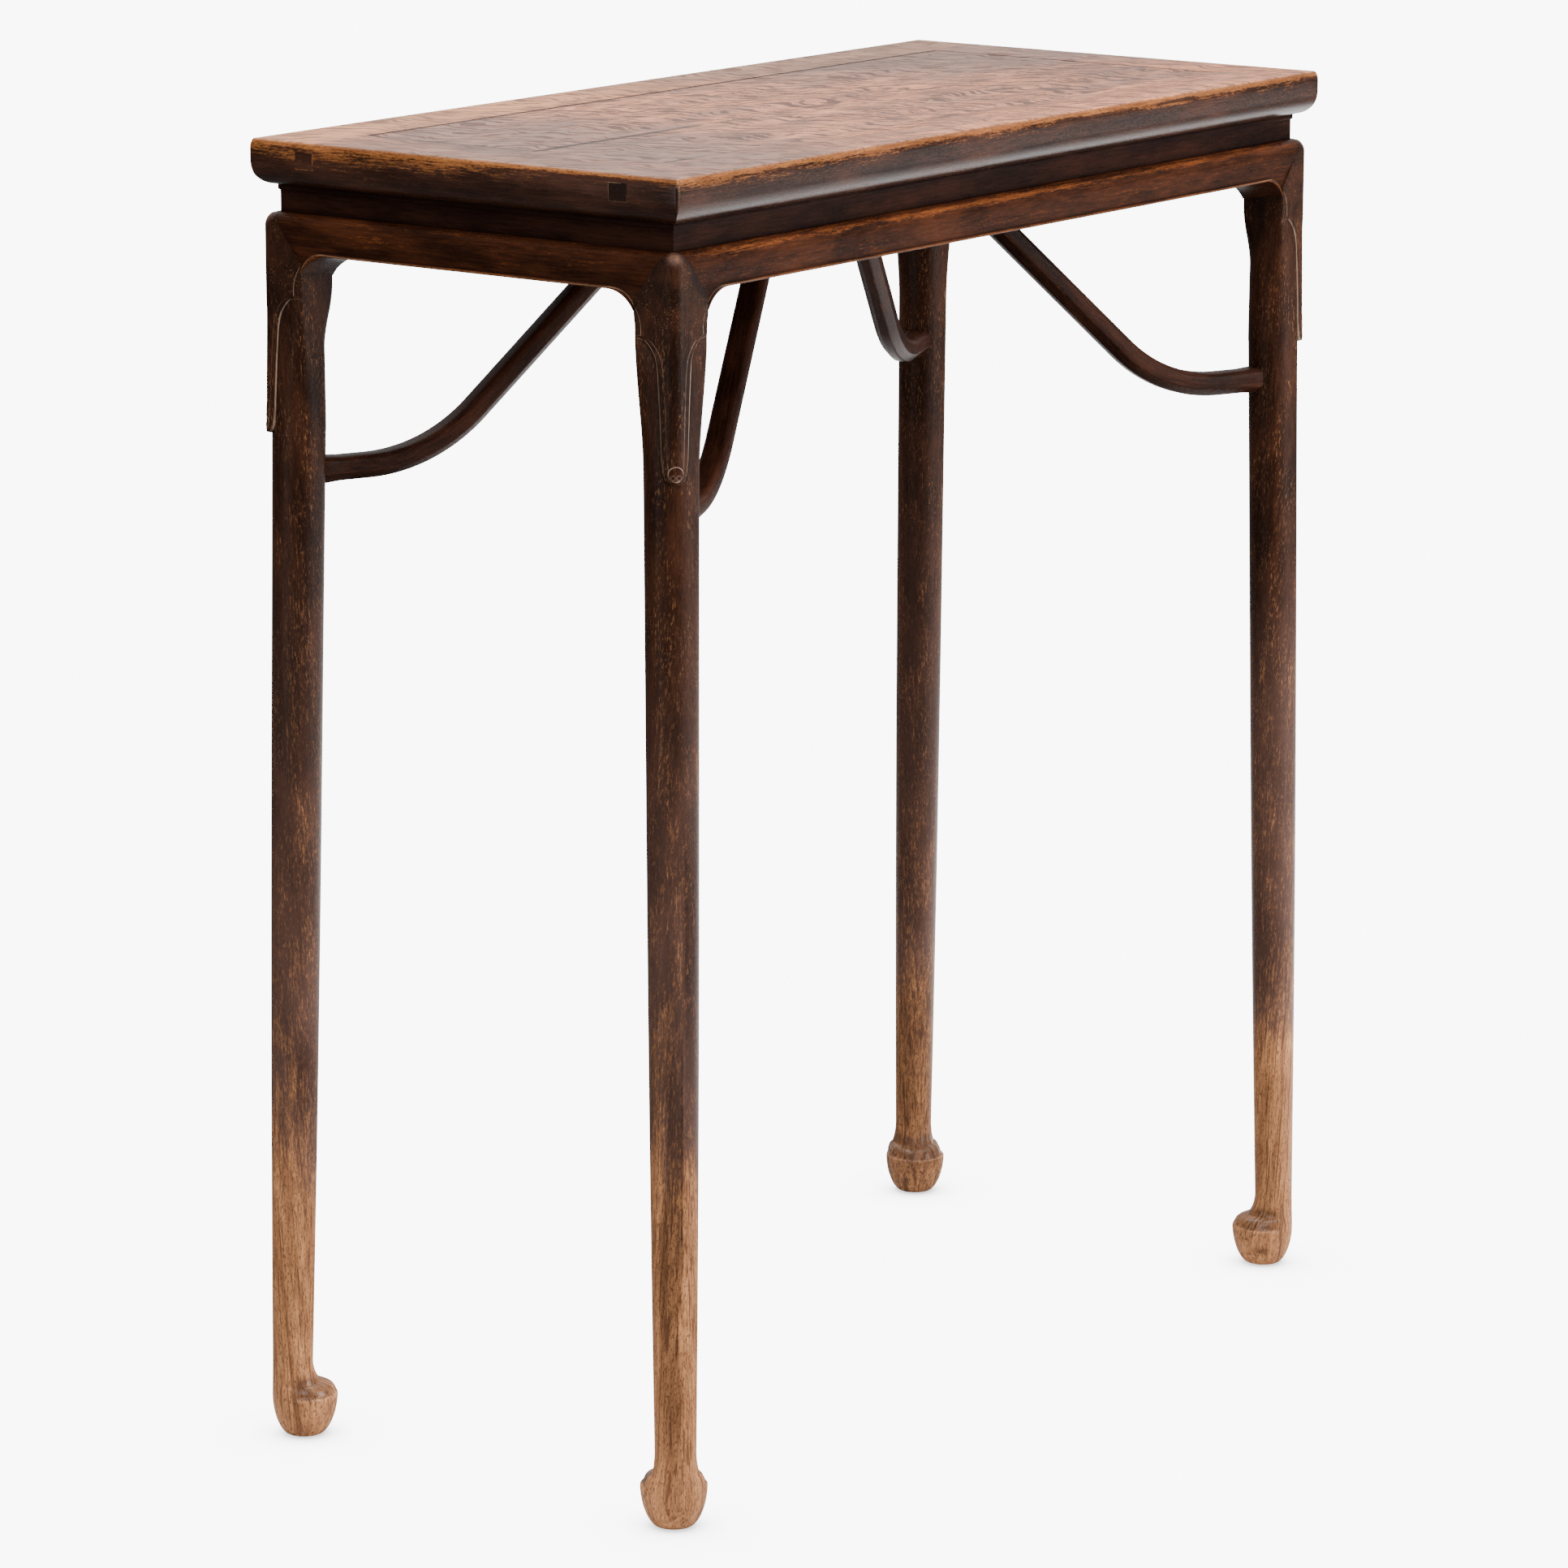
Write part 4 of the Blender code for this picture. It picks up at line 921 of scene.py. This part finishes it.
def shaft_inset(z):
    if z > LEAF_TIP:
        return mix(SHAFT_TOP_INSET, APRON_INSET + LEG_HEAD / 2, ramp(z, LEAF_TIP, SPANDREL_BASE))
    return mix(SHAFT_FLOOR_INSET, SHAFT_TOP_INSET, z / LEAF_TIP)


def shaft_radius(z):
    """A taper with a slight swelling below the middle."""
    share = min(1.0, max(0.0, z - NECK_HEIGHT) / (LEAF_TIP - NECK_HEIGHT))
    swelling = SHAFT_SWELLING * sin(pi * (1 - share) ** 1.3)
    return mix(SHAFT_ANKLE_RADIUS, SHAFT_TOP_RADIUS, share) + swelling


def square_reach(angle, outer, inner, radii):
    """Distance from the axis to a rounded square; radii are those of its outer, side and inner corners."""
    x, y = cos(angle + pi / 4), sin(angle + pi / 4)
    half_x = outer if x > 0 else inner
    half_y = outer if y > 0 else inner
    radius = radii[(x <= 0) + (y <= 0)]
    ax, ay = max(abs(x), 1e-9), max(abs(y), 1e-9)
    cx, cy = half_x - radius, half_y - radius
    flat = min(half_x / ax, half_y / ay)
    if flat * ax <= cx or flat * ay <= cy:
        return flat
    toward = ax * cx + ay * cy
    return toward + sqrt(max(0.0, toward * toward - cx * cx - cy * cy + radius * radius))


def hoof_section(z):
    """Radius of the foot at a height and how far its middle has moved inwards."""
    if z <= HOOF_RIM_HEIGHT:
        rise = (1 - (1 - z / HOOF_RIM_HEIGHT) ** 1.8) ** 0.55
        return mix(HOOF_SOLE_RADIUS, HOOF_RADIUS, rise), HOOF_RADIUS - shaft_radius(z)
    if z <= HOOF_LEDGE_HEIGHT:
        rise = (z - HOOF_RIM_HEIGHT) / (HOOF_LEDGE_HEIGHT - HOOF_RIM_HEIGHT)
        radius = mix(HOOF_LEDGE_RADIUS, HOOF_RADIUS, (1 - rise ** 2.2) ** (1 / 2.2))
    else:
        fall = max(0.0, (NECK_HEIGHT - z) / (NECK_HEIGHT - HOOF_LEDGE_HEIGHT))
        radius = mix(shaft_radius(z), HOOF_LEDGE_RADIUS, fall ** 2.3)
    return radius, radius - shaft_radius(z)


def leaf_edge(across, z):
    """Distance inside the leaf's outline, negative outside it; across is measured level from the diagonal."""
    edge = through(LEAF_EDGE, z) - abs(across)
    if abs(across) < 5:
        edge = min(edge, (z - LEAF_FOOT) * 0.9 + 0.3)
    if z < LEAF_FOOT:
        edge = min(edge, z - LEAF_FOOT)
    return edge


def curl_edge(across, z):
    """Signed distance to the roundel's rim and to the two curls inside it."""
    rise = z - ROUNDEL_HEIGHT
    curls = [sqrt((across - side * 1.8) ** 2 + (rise + 2.2) ** 2) for side in (-1, 1)]
    return max(sqrt(across * across + rise * rise) - ROUNDEL_RADIUS, *(CURL_RADIUS - curl for curl in curls))


def bead_edge(reach, angle, z):
    """Distance inside the spandrel edge on the outer faces of the leg's head."""
    if z < LEAF_HEAD + 1:
        return NOT_NEAR
    return spandrel_reach(z) - LEG_HEAD / 2 - reach * sin(abs(angle) - pi / 4)


def foot_reach(angle, z):
    """The hoof, hollowed on its flanks above the rim."""
    foot, shift = hoof_section(z)
    away = -shift * cos(angle) + sqrt(max(0.0, foot * foot - (shift * sin(angle)) ** 2))
    flank = ramp(abs(angle), 1.4, 1.9) * (1 - 0.6 * ramp(abs(angle), 2.5, 3.0))
    fall = 1 - ramp(z, 35, 47)
    dish = flank * ramp(z, HOOF_RIM_HEIGHT, HOOF_RIM_HEIGHT + 3) * fall
    rim = z - HOOF_RIM_HEIGHT - 0.8 if flank > 0.3 else NOT_NEAR
    # Painted shade with darker lacquer: the hollow above the rim is darker.
    shade = 0.8 * flank * ramp(rim, 0.2, 1.4) * fall
    return away - DISH_DEPTH * dish, (-NOT_NEAR, rim, -NOT_NEAR), shade


def leg_reach(angle, z):
    """Distance of the leg's surface from its axis, those to leaf, curl and bead there, and how much darker it
    is: along the carved lines, and in the hoof's hollow, with darker lacquer and painted shade.
    """
    plain = (-NOT_NEAR, NOT_NEAR, -NOT_NEAR)
    radius = shaft_radius(min(z, LEAF_TIP))
    if z <= NECK_HEIGHT:
        return foot_reach(angle, z)
    if z < LEAF_TIP - 3:
        return radius, plain, 0.0
    half = LEG_HEAD / 2
    drawn = shoulder(z)
    side = max(HEAD_EDGE_RADIUS, min(radius, LEG_HEAD - spandrel_reach(z)))
    if z < SPANDREL_BASE:
        share = ramp(z, LEAF_TIP, SPANDREL_BASE)
        side = mix(radius, LEG_HEAD - SPANDREL_FOOT, share)
        half = mix(radius, LEG_HEAD / 2, share)
    corner = max(1.0, HEAD_CORNER_RADIUS - drawn)
    inner = mix(0.98 * radius, 3, ramp(z, 742, 784))
    squared = square_reach(angle, half - drawn, half, (corner, side, inner))
    rounded = squared
    if z < SPANDREL_BASE:
        rounded = square_reach(angle, half - drawn, half, (half - 0.01, side, inner))
    if abs(angle) > pi / 2:
        return mix(rounded, squared, ramp(z, SPANDREL_BASE - 8, SPANDREL_BASE)), plain, 0.0
    across = squared * sin(angle)
    edge = leaf_edge(across, z)
    curl = curl_edge(across, z)
    bead = bead_edge(squared, angle, z)
    groove = line(bead - BEAD_WIDTH, 0.5)
    lower = 1 - ramp(z, LEAF_HEAD - 1, LEAF_HEAD + 1.5)
    step = LEAF_STEP * lower * ramp(z, 755, 768)
    outside = rounded - step * (1 - ramp(-edge, 1.0, 9))
    body = ramp(z, 702, 708) * (1 - ramp(z, 766, 778))
    reach = mix(outside, squared, ramp(edge, -0.5, 0.35))
    reach -= LEAF_HOLLOW * ramp(edge, 2.7, 3.5) * body
    reach += CURL_RIDGE * line(curl, 0.45)
    reach -= BEAD_GROOVE * groove
    dark = 0.6 * line(edge + 0.9, 0.6) * lower + 0.35 * line(curl - 0.9, 0.5) + 0.6 * groove
    return reach, (edge + 30 * (1 - lower), curl, bead), dark


def in_steps(rows):
    """Values from low towards high in the step of each row; the very last one is left out."""
    values = []
    for low, high, step in rows:
        count = int(round((high - low) / step))
        values += [low + (high - low) * i / count for i in range(count)]
    return values


def prism_mesh(name, outline, low, high, place):
    """A solid of one outline, swept between two depths."""
    shell = Shell()
    shell.sweep((low, high), outline, lambda depth, u, v: [place(u, v, depth)])
    return solid_mesh(name, shell.points, shell.faces)


def carve(mesh, steps):
    """The mesh after a list of (operation, other mesh)."""
    blank = add_object("blank", mesh)
    tools = []
    for operation, other in steps:
        tools.append(add_object("tool", other))
        modifier = blank.modifiers.new("carve", "BOOLEAN")
        modifier.operation = operation
        modifier.solver = "EXACT"
        modifier.object = tools[-1]
    bpy.context.view_layer.update()
    result = bpy.data.meshes.new_from_object(blank.evaluated_get(bpy.context.evaluated_depsgraph_get()))
    for item in [blank, *tools]:
        used = item.data
        bpy.data.objects.remove(item, do_unlink=True)
        bpy.data.meshes.remove(used)
    return result


def leg_master():
    """One leg in insets from the edges of the top, with its joints to the aprons cut."""
    half = in_steps(ANGLE_STEPS)
    angles = [radians(a) for a in half] + [pi] + [-radians(a) for a in reversed(half[1:])]

    def spot(z, angle):
        inset, reach = shaft_inset(z), leg_reach(angle, z)[0]
        return [(inset - reach * cos(pi / 4 + angle), inset - reach * sin(pi / 4 + angle), z)]

    blank = Shell()
    blank.sweep(in_steps(HEIGHT_STEPS) + [APRON_TOP], [[angle] for angle in angles], spot)
    low_z = APRON_TOP - (LEG_HEAD * 1.3 - MITRE_HEAD) / MITRE_SLOPE
    high_z = APRON_TOP + 8
    wedge = [
        (APRON_INSET + mitre_reach(high_z) - HAIRLINE, high_z),
        (APRON_INSET + mitre_reach(low_z) - HAIRLINE, low_z),
        (APRON_INSET + mitre_reach(low_z), high_z),
    ]
    lip = APRON_INSET + APRON_LIP + 0.1
    behind = WAIST_INSET + WAIST_THICKNESS + CLEARANCE
    past = HEAD_INNER + 5
    near, far = behind + 0.5, HEAD_INNER - 0.7
    seat = [(lip, lip), (past, lip), (past, behind), (behind, behind), (behind, past), (lip, past)]
    post = [(near, near), (far, near), (far, far), (near, far)]

    def upright(u, v, depth):
        return u, v, depth

    return carve(solid_mesh("leg_blank", blank.points, blank.faces), [
        ("DIFFERENCE", prism_mesh("long_mitre", wedge, -5, lip, lambda u, v, d: (u, d, v))),
        ("DIFFERENCE", prism_mesh("end_mitre", wedge, -5, lip, lambda u, v, d: (d, u, v))),
        ("DIFFERENCE", prism_mesh("waist_seat", seat, WAIST_SEAT, FRAME_UNDERSIDE, upright)),
        ("UNION", prism_mesh("post", post, WAIST_SEAT - 6, FRAME_UNDERSIDE - HAIRLINE, upright)),
    ])


# Height and angle of the edge of the dark vein
VEIN_EDGE = ((40, 0.10), (90, 0.12), (133, -0.06), (170, 0.19), (300, 0.22))
# Height and how bare the leg is there
LEG_WEAR = {
    "front_left": (
        (60, 1.05), (115, 1.0), (150, 0.87), (185, 0.75), (220, 0.61), (254, 0.47), (289, 0.39), (340, 0.31),
        (400, 0.25), (470, 0.19), (540, 0.13), (610, 0.08), (670, 0.05), (704, 0.0), (785, -0.08)),
    "back_left": (
        (80, 1.0), (130, 0.90), (165, 0.72), (200, 0.52), (235, 0.39), (290, 0.29), (360, 0.23), (470, 0.18),
        (560, 0.13), (640, 0.08), (700, 0.05), (785, -0.06)),
    "front_right": (
        (140, 0.98), (162, 0.82), (180, 0.52), (197, 0.31), (240, 0.28), (350, 0.26), (430, 0.22),
        (470, 0.18), (505, 0.12), (545, 0.08), (700, 0.02), (785, -0.08)),
    "back_right": (
        (80, 0.70), (130, 0.58), (165, 0.46), (200, 0.29), (280, 0.23), (360, 0.20), (440, 0.17), (510, 0.14),
        (590, 0.10), (700, 0.03), (785, -0.08)),
}
LINE_RUB = {"front_left": 1.0, "back_left": 0.8, "front_right": 0.45, "back_right": 0.7}
FOOT_GRIME = {"front_right": (0.18, 40, 70), "back_right": (0.48, 110, 210)}
DARKEST = 0.76
GRAIN_SLOPE = (0.075, 0.02)
HEART_DEPTH = 30
HEAD_START = 785


def dark_vein(corner, angle, z):
    """A streak of darker heartwood down the lower part of a leg and the line along its wavy edge."""
    edge = through(VEIN_EDGE, z)
    if corner != "front_left":
        edge = 0.5 * edge - 0.25
        angle = -angle if corner == "back_left" else angle
    near = mix(-0.82, -0.45, ramp(z, 195, 240))
    streak = ramp(angle, near - 0.16, near + 0.16) * (1 - ramp(angle, edge - 0.04, edge + 0.04))
    present = ramp(z, 30, 90) * (1 - ramp(z, 280, 380))
    return streak * present, line(angle - edge, 0.045) * present


def line_rub(corner, angle, z):
    """How brightly the carved lines show: most at the near leaf's head and tip, least down one side."""
    if z < NECK_HEIGHT:
        return 0.8 if corner == "back_right" else 0.25
    rub = LINE_RUB[corner]
    if corner == "front_left":
        if angle < 0:
            rub = 0.40 + 0.6 * ramp(z, 762, 769)
        rub += 0.9 * line(z - 774, 3)
    rise = z - ROUNDEL_HEIGHT
    if abs(angle) < 0.34 and abs(rise) < 6.8:
        if rise < -4.0:
            return rub * (1.2 if angle > -0.2 else 0.6)
        return mix(0.34, 1.15, ramp(rise, -1.0, 2.0))
    return rub


def leg_bare(corner, angle, z, vein):
    bare = through(LEG_WEAR[corner], z) - 0.06 * vein
    if corner == "front_left":
        height = ramp(z, 215, 275) * (1 - ramp(z, 400, 500))
        bare -= 0.14 * ramp(angle, 0.15, 0.45) * height
    if corner == "back_left":
        height = ramp(z, 135, 165) * (1 - ramp(z, 250, 300))
        bare -= 0.16 * ramp(-angle, 1.3, 1.8) * height
    return bare + 0.42 * line(z - APRON_TOP + 2, 6) * line(angle, 0.45)


def leg_grime(corner, angle, z, from_mitre):
    """Dirt on a leg: around the hoof's ledge, where it is also painted shade, at the mitres, under the top
    and over two of the feet.
    """
    near = corner == "front_left"
    # Around the hoof's ledge the hollow is darker: dirt and painted shade.
    dirt_and_shade = 0.3 * line(z - 38, 4) * ramp(abs(angle), 0.9, 2.2) + 0.15 * ramp(z, 750, 800)
    dirt_and_shade += (0.38 if near else 0.15) * (1 - ramp(from_mitre, 0.0, 11)) * ramp(z, HEAD_START, 800)
    if corner in FOOT_GRIME:
        share, low, high = FOOT_GRIME[corner]
        dirt_and_shade += share * (1 - ramp(z, low, high))
    if corner == "front_right":
        knot = line(z - 13, 3) * line(angle - 2.17, 0.26)
        dirt_and_shade += 0.7 * knot
    return dirt_and_shade


def leg_grain(x, y, z, angle):
    inset = shaft_inset(z)
    away = sqrt((inset - x) ** 2 + (inset - y) ** 2)
    if z < NECK_HEIGHT:
        away = min(away, shaft_radius(z))
    along = z + 2.5 * max(0.0, z - HEAD_START)
    return along, away * cos(angle) - GRAIN_SLOPE[0] * z, away * sin(angle) - GRAIN_SLOPE[1] * z + HEART_DEPTH


def make_legs():
    master = leg_master()
    faces = [tuple(face.vertices) for face in master.polygons]
    places = [[part / MM for part in vertex.co] for vertex in master.vertices]
    bpy.data.meshes.remove(master)
    marks = []
    for x, y, z in places:
        inset = shaft_inset(z)
        angle = atan2(inset - y, inset - x) - pi / 4
        angle = (angle + pi) % (2 * pi) - pi
        marks.append((angle, *leg_reach(angle, z)[1:]))
    for index, (corner, (x_sign, y_sign)) in enumerate(CORNERS.items()):
        shell = Shell(2.3 * index + 11.0)
        for (x, y, z), (angle, (leaf, curl, bead), shade) in zip(places, marks):
            vein, vein_line = dark_vein(corner, angle, z)
            dark = shade + (0.52 if corner == "front_left" else 0.3) * vein + 0.4 * vein_line
            dark += leg_grime(corner, angle, z, mitre_reach(z) + APRON_INSET - max(x, y))
            place = (x_sign * (TOP_LENGTH / 2 - x), y_sign * (TOP_DEPTH / 2 - y), z)
            carved = {"leaf": leaf, "curl": curl, "bead": bead, "rub": line_rub(corner, angle, z)}
            carved["gloss"] = shade if z < NECK_HEIGHT else 0.0
            bare = leg_bare(corner, angle, z, vein)
            shell.point(place, leg_grain(x, y, z, angle), bare, min(dark, DARKEST), 0.0, carved)
        for face in faces:
            shell.face(face)
        install(f"carved_leg_{corner}", shell, [LEG_FINISH], f"leg_{corner}", sharp=38)


# Braces

BRACE_SEAT = FRAME_UNDERSIDE - CLEARANCE
BRACE_CHAMFER = 5.2
BRACE_SOFT_RADIUS = 4.5
# How far outwards and up from the inner edge of the lower chamfer, then bare
CHAMFER_STEPS = (
    (-0.8, 0.0, 0.05), (0.0, 0.12, 0.4), (0.6, 0.6, 0.1), (2.6, 2.6, 0.02), (4.6, 4.6, 0.1),
    (5.08, 5.2, 0.35), (5.2, 6.0, 0.05))


def brace_frame(x_sign, y_sign):
    inset = shaft_inset(BRACE_HEIGHT)
    origin = Vector((x_sign * (TOP_LENGTH / 2 - inset), y_sign * (TOP_DEPTH / 2 - inset), 0))
    inward = -origin.normalized()
    return origin, inward, Vector((-inward.y, inward.x, 0))


def brace_path():
    """Middle line as (level distance, height, slope): level, a bend up, a straight rise, a bend back."""
    origin, inward, _ = brace_frame(1, 1)
    radius = BRACE_BEND_RADIUS
    flat, steep = cos(BRACE_HEAD_SLOPE), sin(BRACE_HEAD_SLOPE)
    head = ((origin.x - BATTEN_X) / -inward.x, BRACE_SEAT - BRACE_DEPTH / 2 / flat)
    lower = (BRACE_FOOT_RUN, BRACE_HEIGHT + radius)
    upper = (head[0] + radius * steep, head[1] - radius * flat)
    run, rise = upper[0] - lower[0], upper[1] - lower[1]
    straight = sqrt(run * run + rise * rise - 4 * radius * radius)
    slope = atan2(rise, run) + atan2(2 * radius, straight)
    path = [(level, BRACE_HEIGHT, 0.0) for level in spread(8, BRACE_FOOT_RUN, 8)[:-1]]
    for angle in spread(0.0, slope, 24):
        path.append((lower[0] + radius * sin(angle), lower[1] - radius * cos(angle), angle))
    first, last = path[-1], (upper[0] - radius * sin(slope), upper[1] + radius * cos(slope))
    for share in spread(0.0, 1.0, 10)[1:-1]:
        path.append((mix(first[0], last[0], share), mix(first[1], last[1], share), slope))
    for angle in spread(slope, BRACE_HEAD_SLOPE, 10):
        path.append((upper[0] - radius * sin(angle), upper[1] + radius * cos(angle), angle))
    path.append((head[0] + BRACE_HEAD_OVERRUN * flat, head[1] + BRACE_HEAD_OVERRUN * steep, BRACE_HEAD_SLOPE))
    return path


def brace_outline():
    """The section: (across, up, bare)."""
    half, rise = BRACE_WIDTH / 2, BRACE_DEPTH / 2
    right = [(half - BRACE_CHAMFER + out, -rise + up, bare) for out, up, bare in CHAMFER_STEPS]
    right.append((half, 0.0, 0.0))
    for i in range(6):
        angle = pi / 2 * i / 5
        across = half - BRACE_SOFT_RADIUS * (1 - cos(angle))
        right.append((across, rise - BRACE_SOFT_RADIUS * (1 - sin(angle)), 0.04))
    return right + [(-across, up, bare) for across, up, bare in reversed(right)]


def make_brace(corner, signs, offset):
    origin, inward, sideways = brace_frame(*signs)
    path = brace_path()
    rows = []
    travelled = 0.0
    for before, here in zip(path[:1] + path, path):
        travelled += dist(before[:2], here[:2])
        rows.append((*here, travelled))

    def spot(row, across, up, bare):
        run, z, slope, grain = row
        flare = 1 + 0.10 * (1 - ramp(run, 17, 30))
        place = origin + inward * (run - up * sin(slope)) + sideways * across * flare
        height = min(BRACE_SEAT, z + up * cos(slope) * flare)
        return (place.x, place.y, height), (grain, across, up), bare

    shell = Shell(offset)
    shell.sweep(rows, brace_outline(), spot)
    install(f"bent_brace_{corner}", shell, [BRACE_FINISH], f"brace_{corner}", sharp=35)


# Stage, in metres

VIEW_AZIMUTH = radians(-53.9247)
VIEW_PITCH = radians(12.8172)
VIEW_ROLL = radians(0.1534)
VIEW_DISTANCE = 4.36638
VIEW_SIDE_STEP = -0.015541
VIEW_RISE = -0.033132
VIEW_TARGET = Vector((0, 0, 0.44))
LENS = 144.506
SENSOR_WIDTH = 36.0
FLOOR_HALF = 60.0
FLOOR_DROP = 0.5 * MM
LIT_SIDE = (0.85, -0.53, 0.0)
FOOT_PLACE = (
    MM * (TOP_LENGTH / 2 - SHAFT_FLOOR_INSET), MM * (TOP_DEPTH / 2 - SHAFT_FLOOR_INSET), FLOOR_DROP)
SKY_COLOUR = (1.0, 0.99, 0.98)
SKY_BASE = 0.05
# Direction, where its light starts and is full, and its brightness: far wall, right wall and ceiling
SKY_PARTS = (
    ((0.81, 0.59, 0.0), 0.35, 0.85, 0.75),
    ((0.59, -0.81, 0.0), 0.2, 0.9, 0.2),
    ((0.0, 0.0, 1.0), 0.35, 0.95, 0.8),
)
# Place, what it points at, width, height and power
LIGHTS = {
    "overhead": ((0.3, 0.2, 3.2), (0, 0, 0.5), 3.0, 3.0, 150),
    "low_panel": ((1.25, 0.35, 0.01), (1.25, 0.35, 1.0), 1.5, 1.8, 17),
    "key": ((1.0, -3.4, 1.7), (0, 0, 0.45), 1.6, 2.2, 98),
    "fill": ((-3.2, -2.2, 2.9), (0, 0, 0.45), 3.0, 3.0, 95),
    "strip": ((1.1, -3.0, 0.45), (-0.3, -0.1, 0.6), 1.1, 0.9, 13),
    "left_panel": ((-3.0, 0.7, 0.8), (0, 0, 0.40), 1.4, 1.4, 14),
    "side_panel": ((2.35, -1.65, 0.32), (0.2, -0.1, 0.75), 0.9, 0.6, 2.6),
}


def make_camera():
    out = cos(VIEW_PITCH)
    back = Vector((sin(VIEW_AZIMUTH) * out, -cos(VIEW_AZIMUTH) * out, sin(VIEW_PITCH)))
    right = Vector((cos(VIEW_AZIMUTH), sin(VIEW_AZIMUTH), 0))
    up = back.cross(right)
    level = right * cos(VIEW_ROLL) + up * sin(VIEW_ROLL)
    upright = up * cos(VIEW_ROLL) - right * sin(VIEW_ROLL)
    place = VIEW_TARGET + right * VIEW_SIDE_STEP + up * VIEW_RISE + back * VIEW_DISTANCE
    camera = bpy.data.cameras.new("view")
    camera.lens = LENS
    camera.sensor_fit = "HORIZONTAL"
    camera.sensor_width = SENSOR_WIDTH
    camera.clip_end = 200.0
    view = add_object("view", camera)
    view.matrix_world = Matrix.Translation(place) @ Matrix((level, upright, back)).transposed().to_4x4()
    bpy.context.scene.camera = view


def make_floor():
    shape = bmesh.new()
    bmesh.ops.create_grid(shape, x_segments=2, y_segments=2, size=FLOOR_HALF)
    mesh = bpy.data.meshes.new("floor")
    shape.to_mesh(mesh)
    shape.free()
    mesh.materials.append(floor_finish())
    floor = add_object("floor", mesh)
    floor.location.z = -FLOOR_DROP


def floor_finish():
    """A pale studio floor: bright where the camera sees it, dim where the table does."""
    material, tree, shader = new_material("pale_floor")
    place = add_node(tree, "ShaderNodeNewGeometry", output="Position")
    lit = place.vector_maths("DOT_PRODUCT", "Value", LIT_SIDE)
    from_foot = place.vector_maths("ABSOLUTE", "Vector").vector_maths("DISTANCE", "Value", FOOT_PLACE)
    # Painted light: as the table sees it, the floor is brighter towards the lit side and around the feet.
    bounce = lit.smooth(0.2, 1.0, 0.08, 0.85) * lit.smooth(1.5, 2.8, 1.0, 0.08)
    bounce = bounce.maths("MAXIMUM", from_foot.smooth(0.06, 0.18, 0.62, 0.0))
    feed(shader, {"Base Color": grey_of(bounce), "Roughness": 0.9, "Specular IOR Level": 0.0})
    # Painted contact shadow: ambient occlusion dims the glow that the camera sees near the feet.
    contact_shadow = add_node(tree, "ShaderNodeAmbientOcclusion", {"Distance": 0.12}, "AO", samples=8)
    glow = add_node(tree, "ShaderNodeEmission", ((1.0, 1.0, 1.0), contact_shadow.smooth(0.2, 1.0, 1.5, 9.0)))
    seen = add_node(tree, "ShaderNodeLightPath", output="Is Camera Ray")
    both = add_node(tree, "ShaderNodeMixShader", (seen, Signal(shader.outputs[0]), glow))
    feed(tree.nodes["Material Output"], {"Surface": both})
    return material


def make_sky():
    world = bpy.data.worlds.new("studio")
    world.use_nodes = True
    direction = add_node(world.node_tree, "ShaderNodeTexCoord", output="Generated")
    far_wall, right_wall, ceiling = [
        direction.vector_maths("DOT_PRODUCT", "Value", facing).smooth(low, high, 0.0, brightness)
        for facing, low, high, brightness in SKY_PARTS]
    strength = far_wall + right_wall + (ceiling + SKY_BASE)
    feed(world.node_tree.nodes["Background"], {"Color": SKY_COLOUR, "Strength": strength})
    bpy.context.scene.world = world


def make_lights():
    for name, (place, target, width, height, power) in LIGHTS.items():
        lamp = bpy.data.lights.new(name, "AREA")
        lamp.shape = "RECTANGLE"
        lamp.size = width
        lamp.size_y = height
        lamp.energy = power
        item = add_object(name, lamp)
        item.location = place
        item.rotation_euler = (Vector(target) - Vector(place)).to_track_quat("-Z", "Y").to_euler()
        item.visible_camera = False


def main():
    for index, side in enumerate(SIDES):
        make_rail(side, 1.7 * index + 0.4)
        make_waist_board(side, 1.9 * index + 30.2)
        make_apron(side, 2.1 * index + 50.6)
    make_board("front", 0.0)
    make_board("back", 5.3)
    make_legs()
    for index, (corner, signs) in enumerate(CORNERS.items()):
        make_brace(corner, signs, 1.3 * index + 80.0)
    for name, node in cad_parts.items():
        if name.startswith(("batten", "brace_pin", "brace_wedge")):
            node.data.materials.clear()
            node.data.materials.append(BATTEN_FINISH if name.startswith("batten") else PIN_FINISH)
    make_camera()
    make_floor()
    make_sky()
    make_lights()


main()
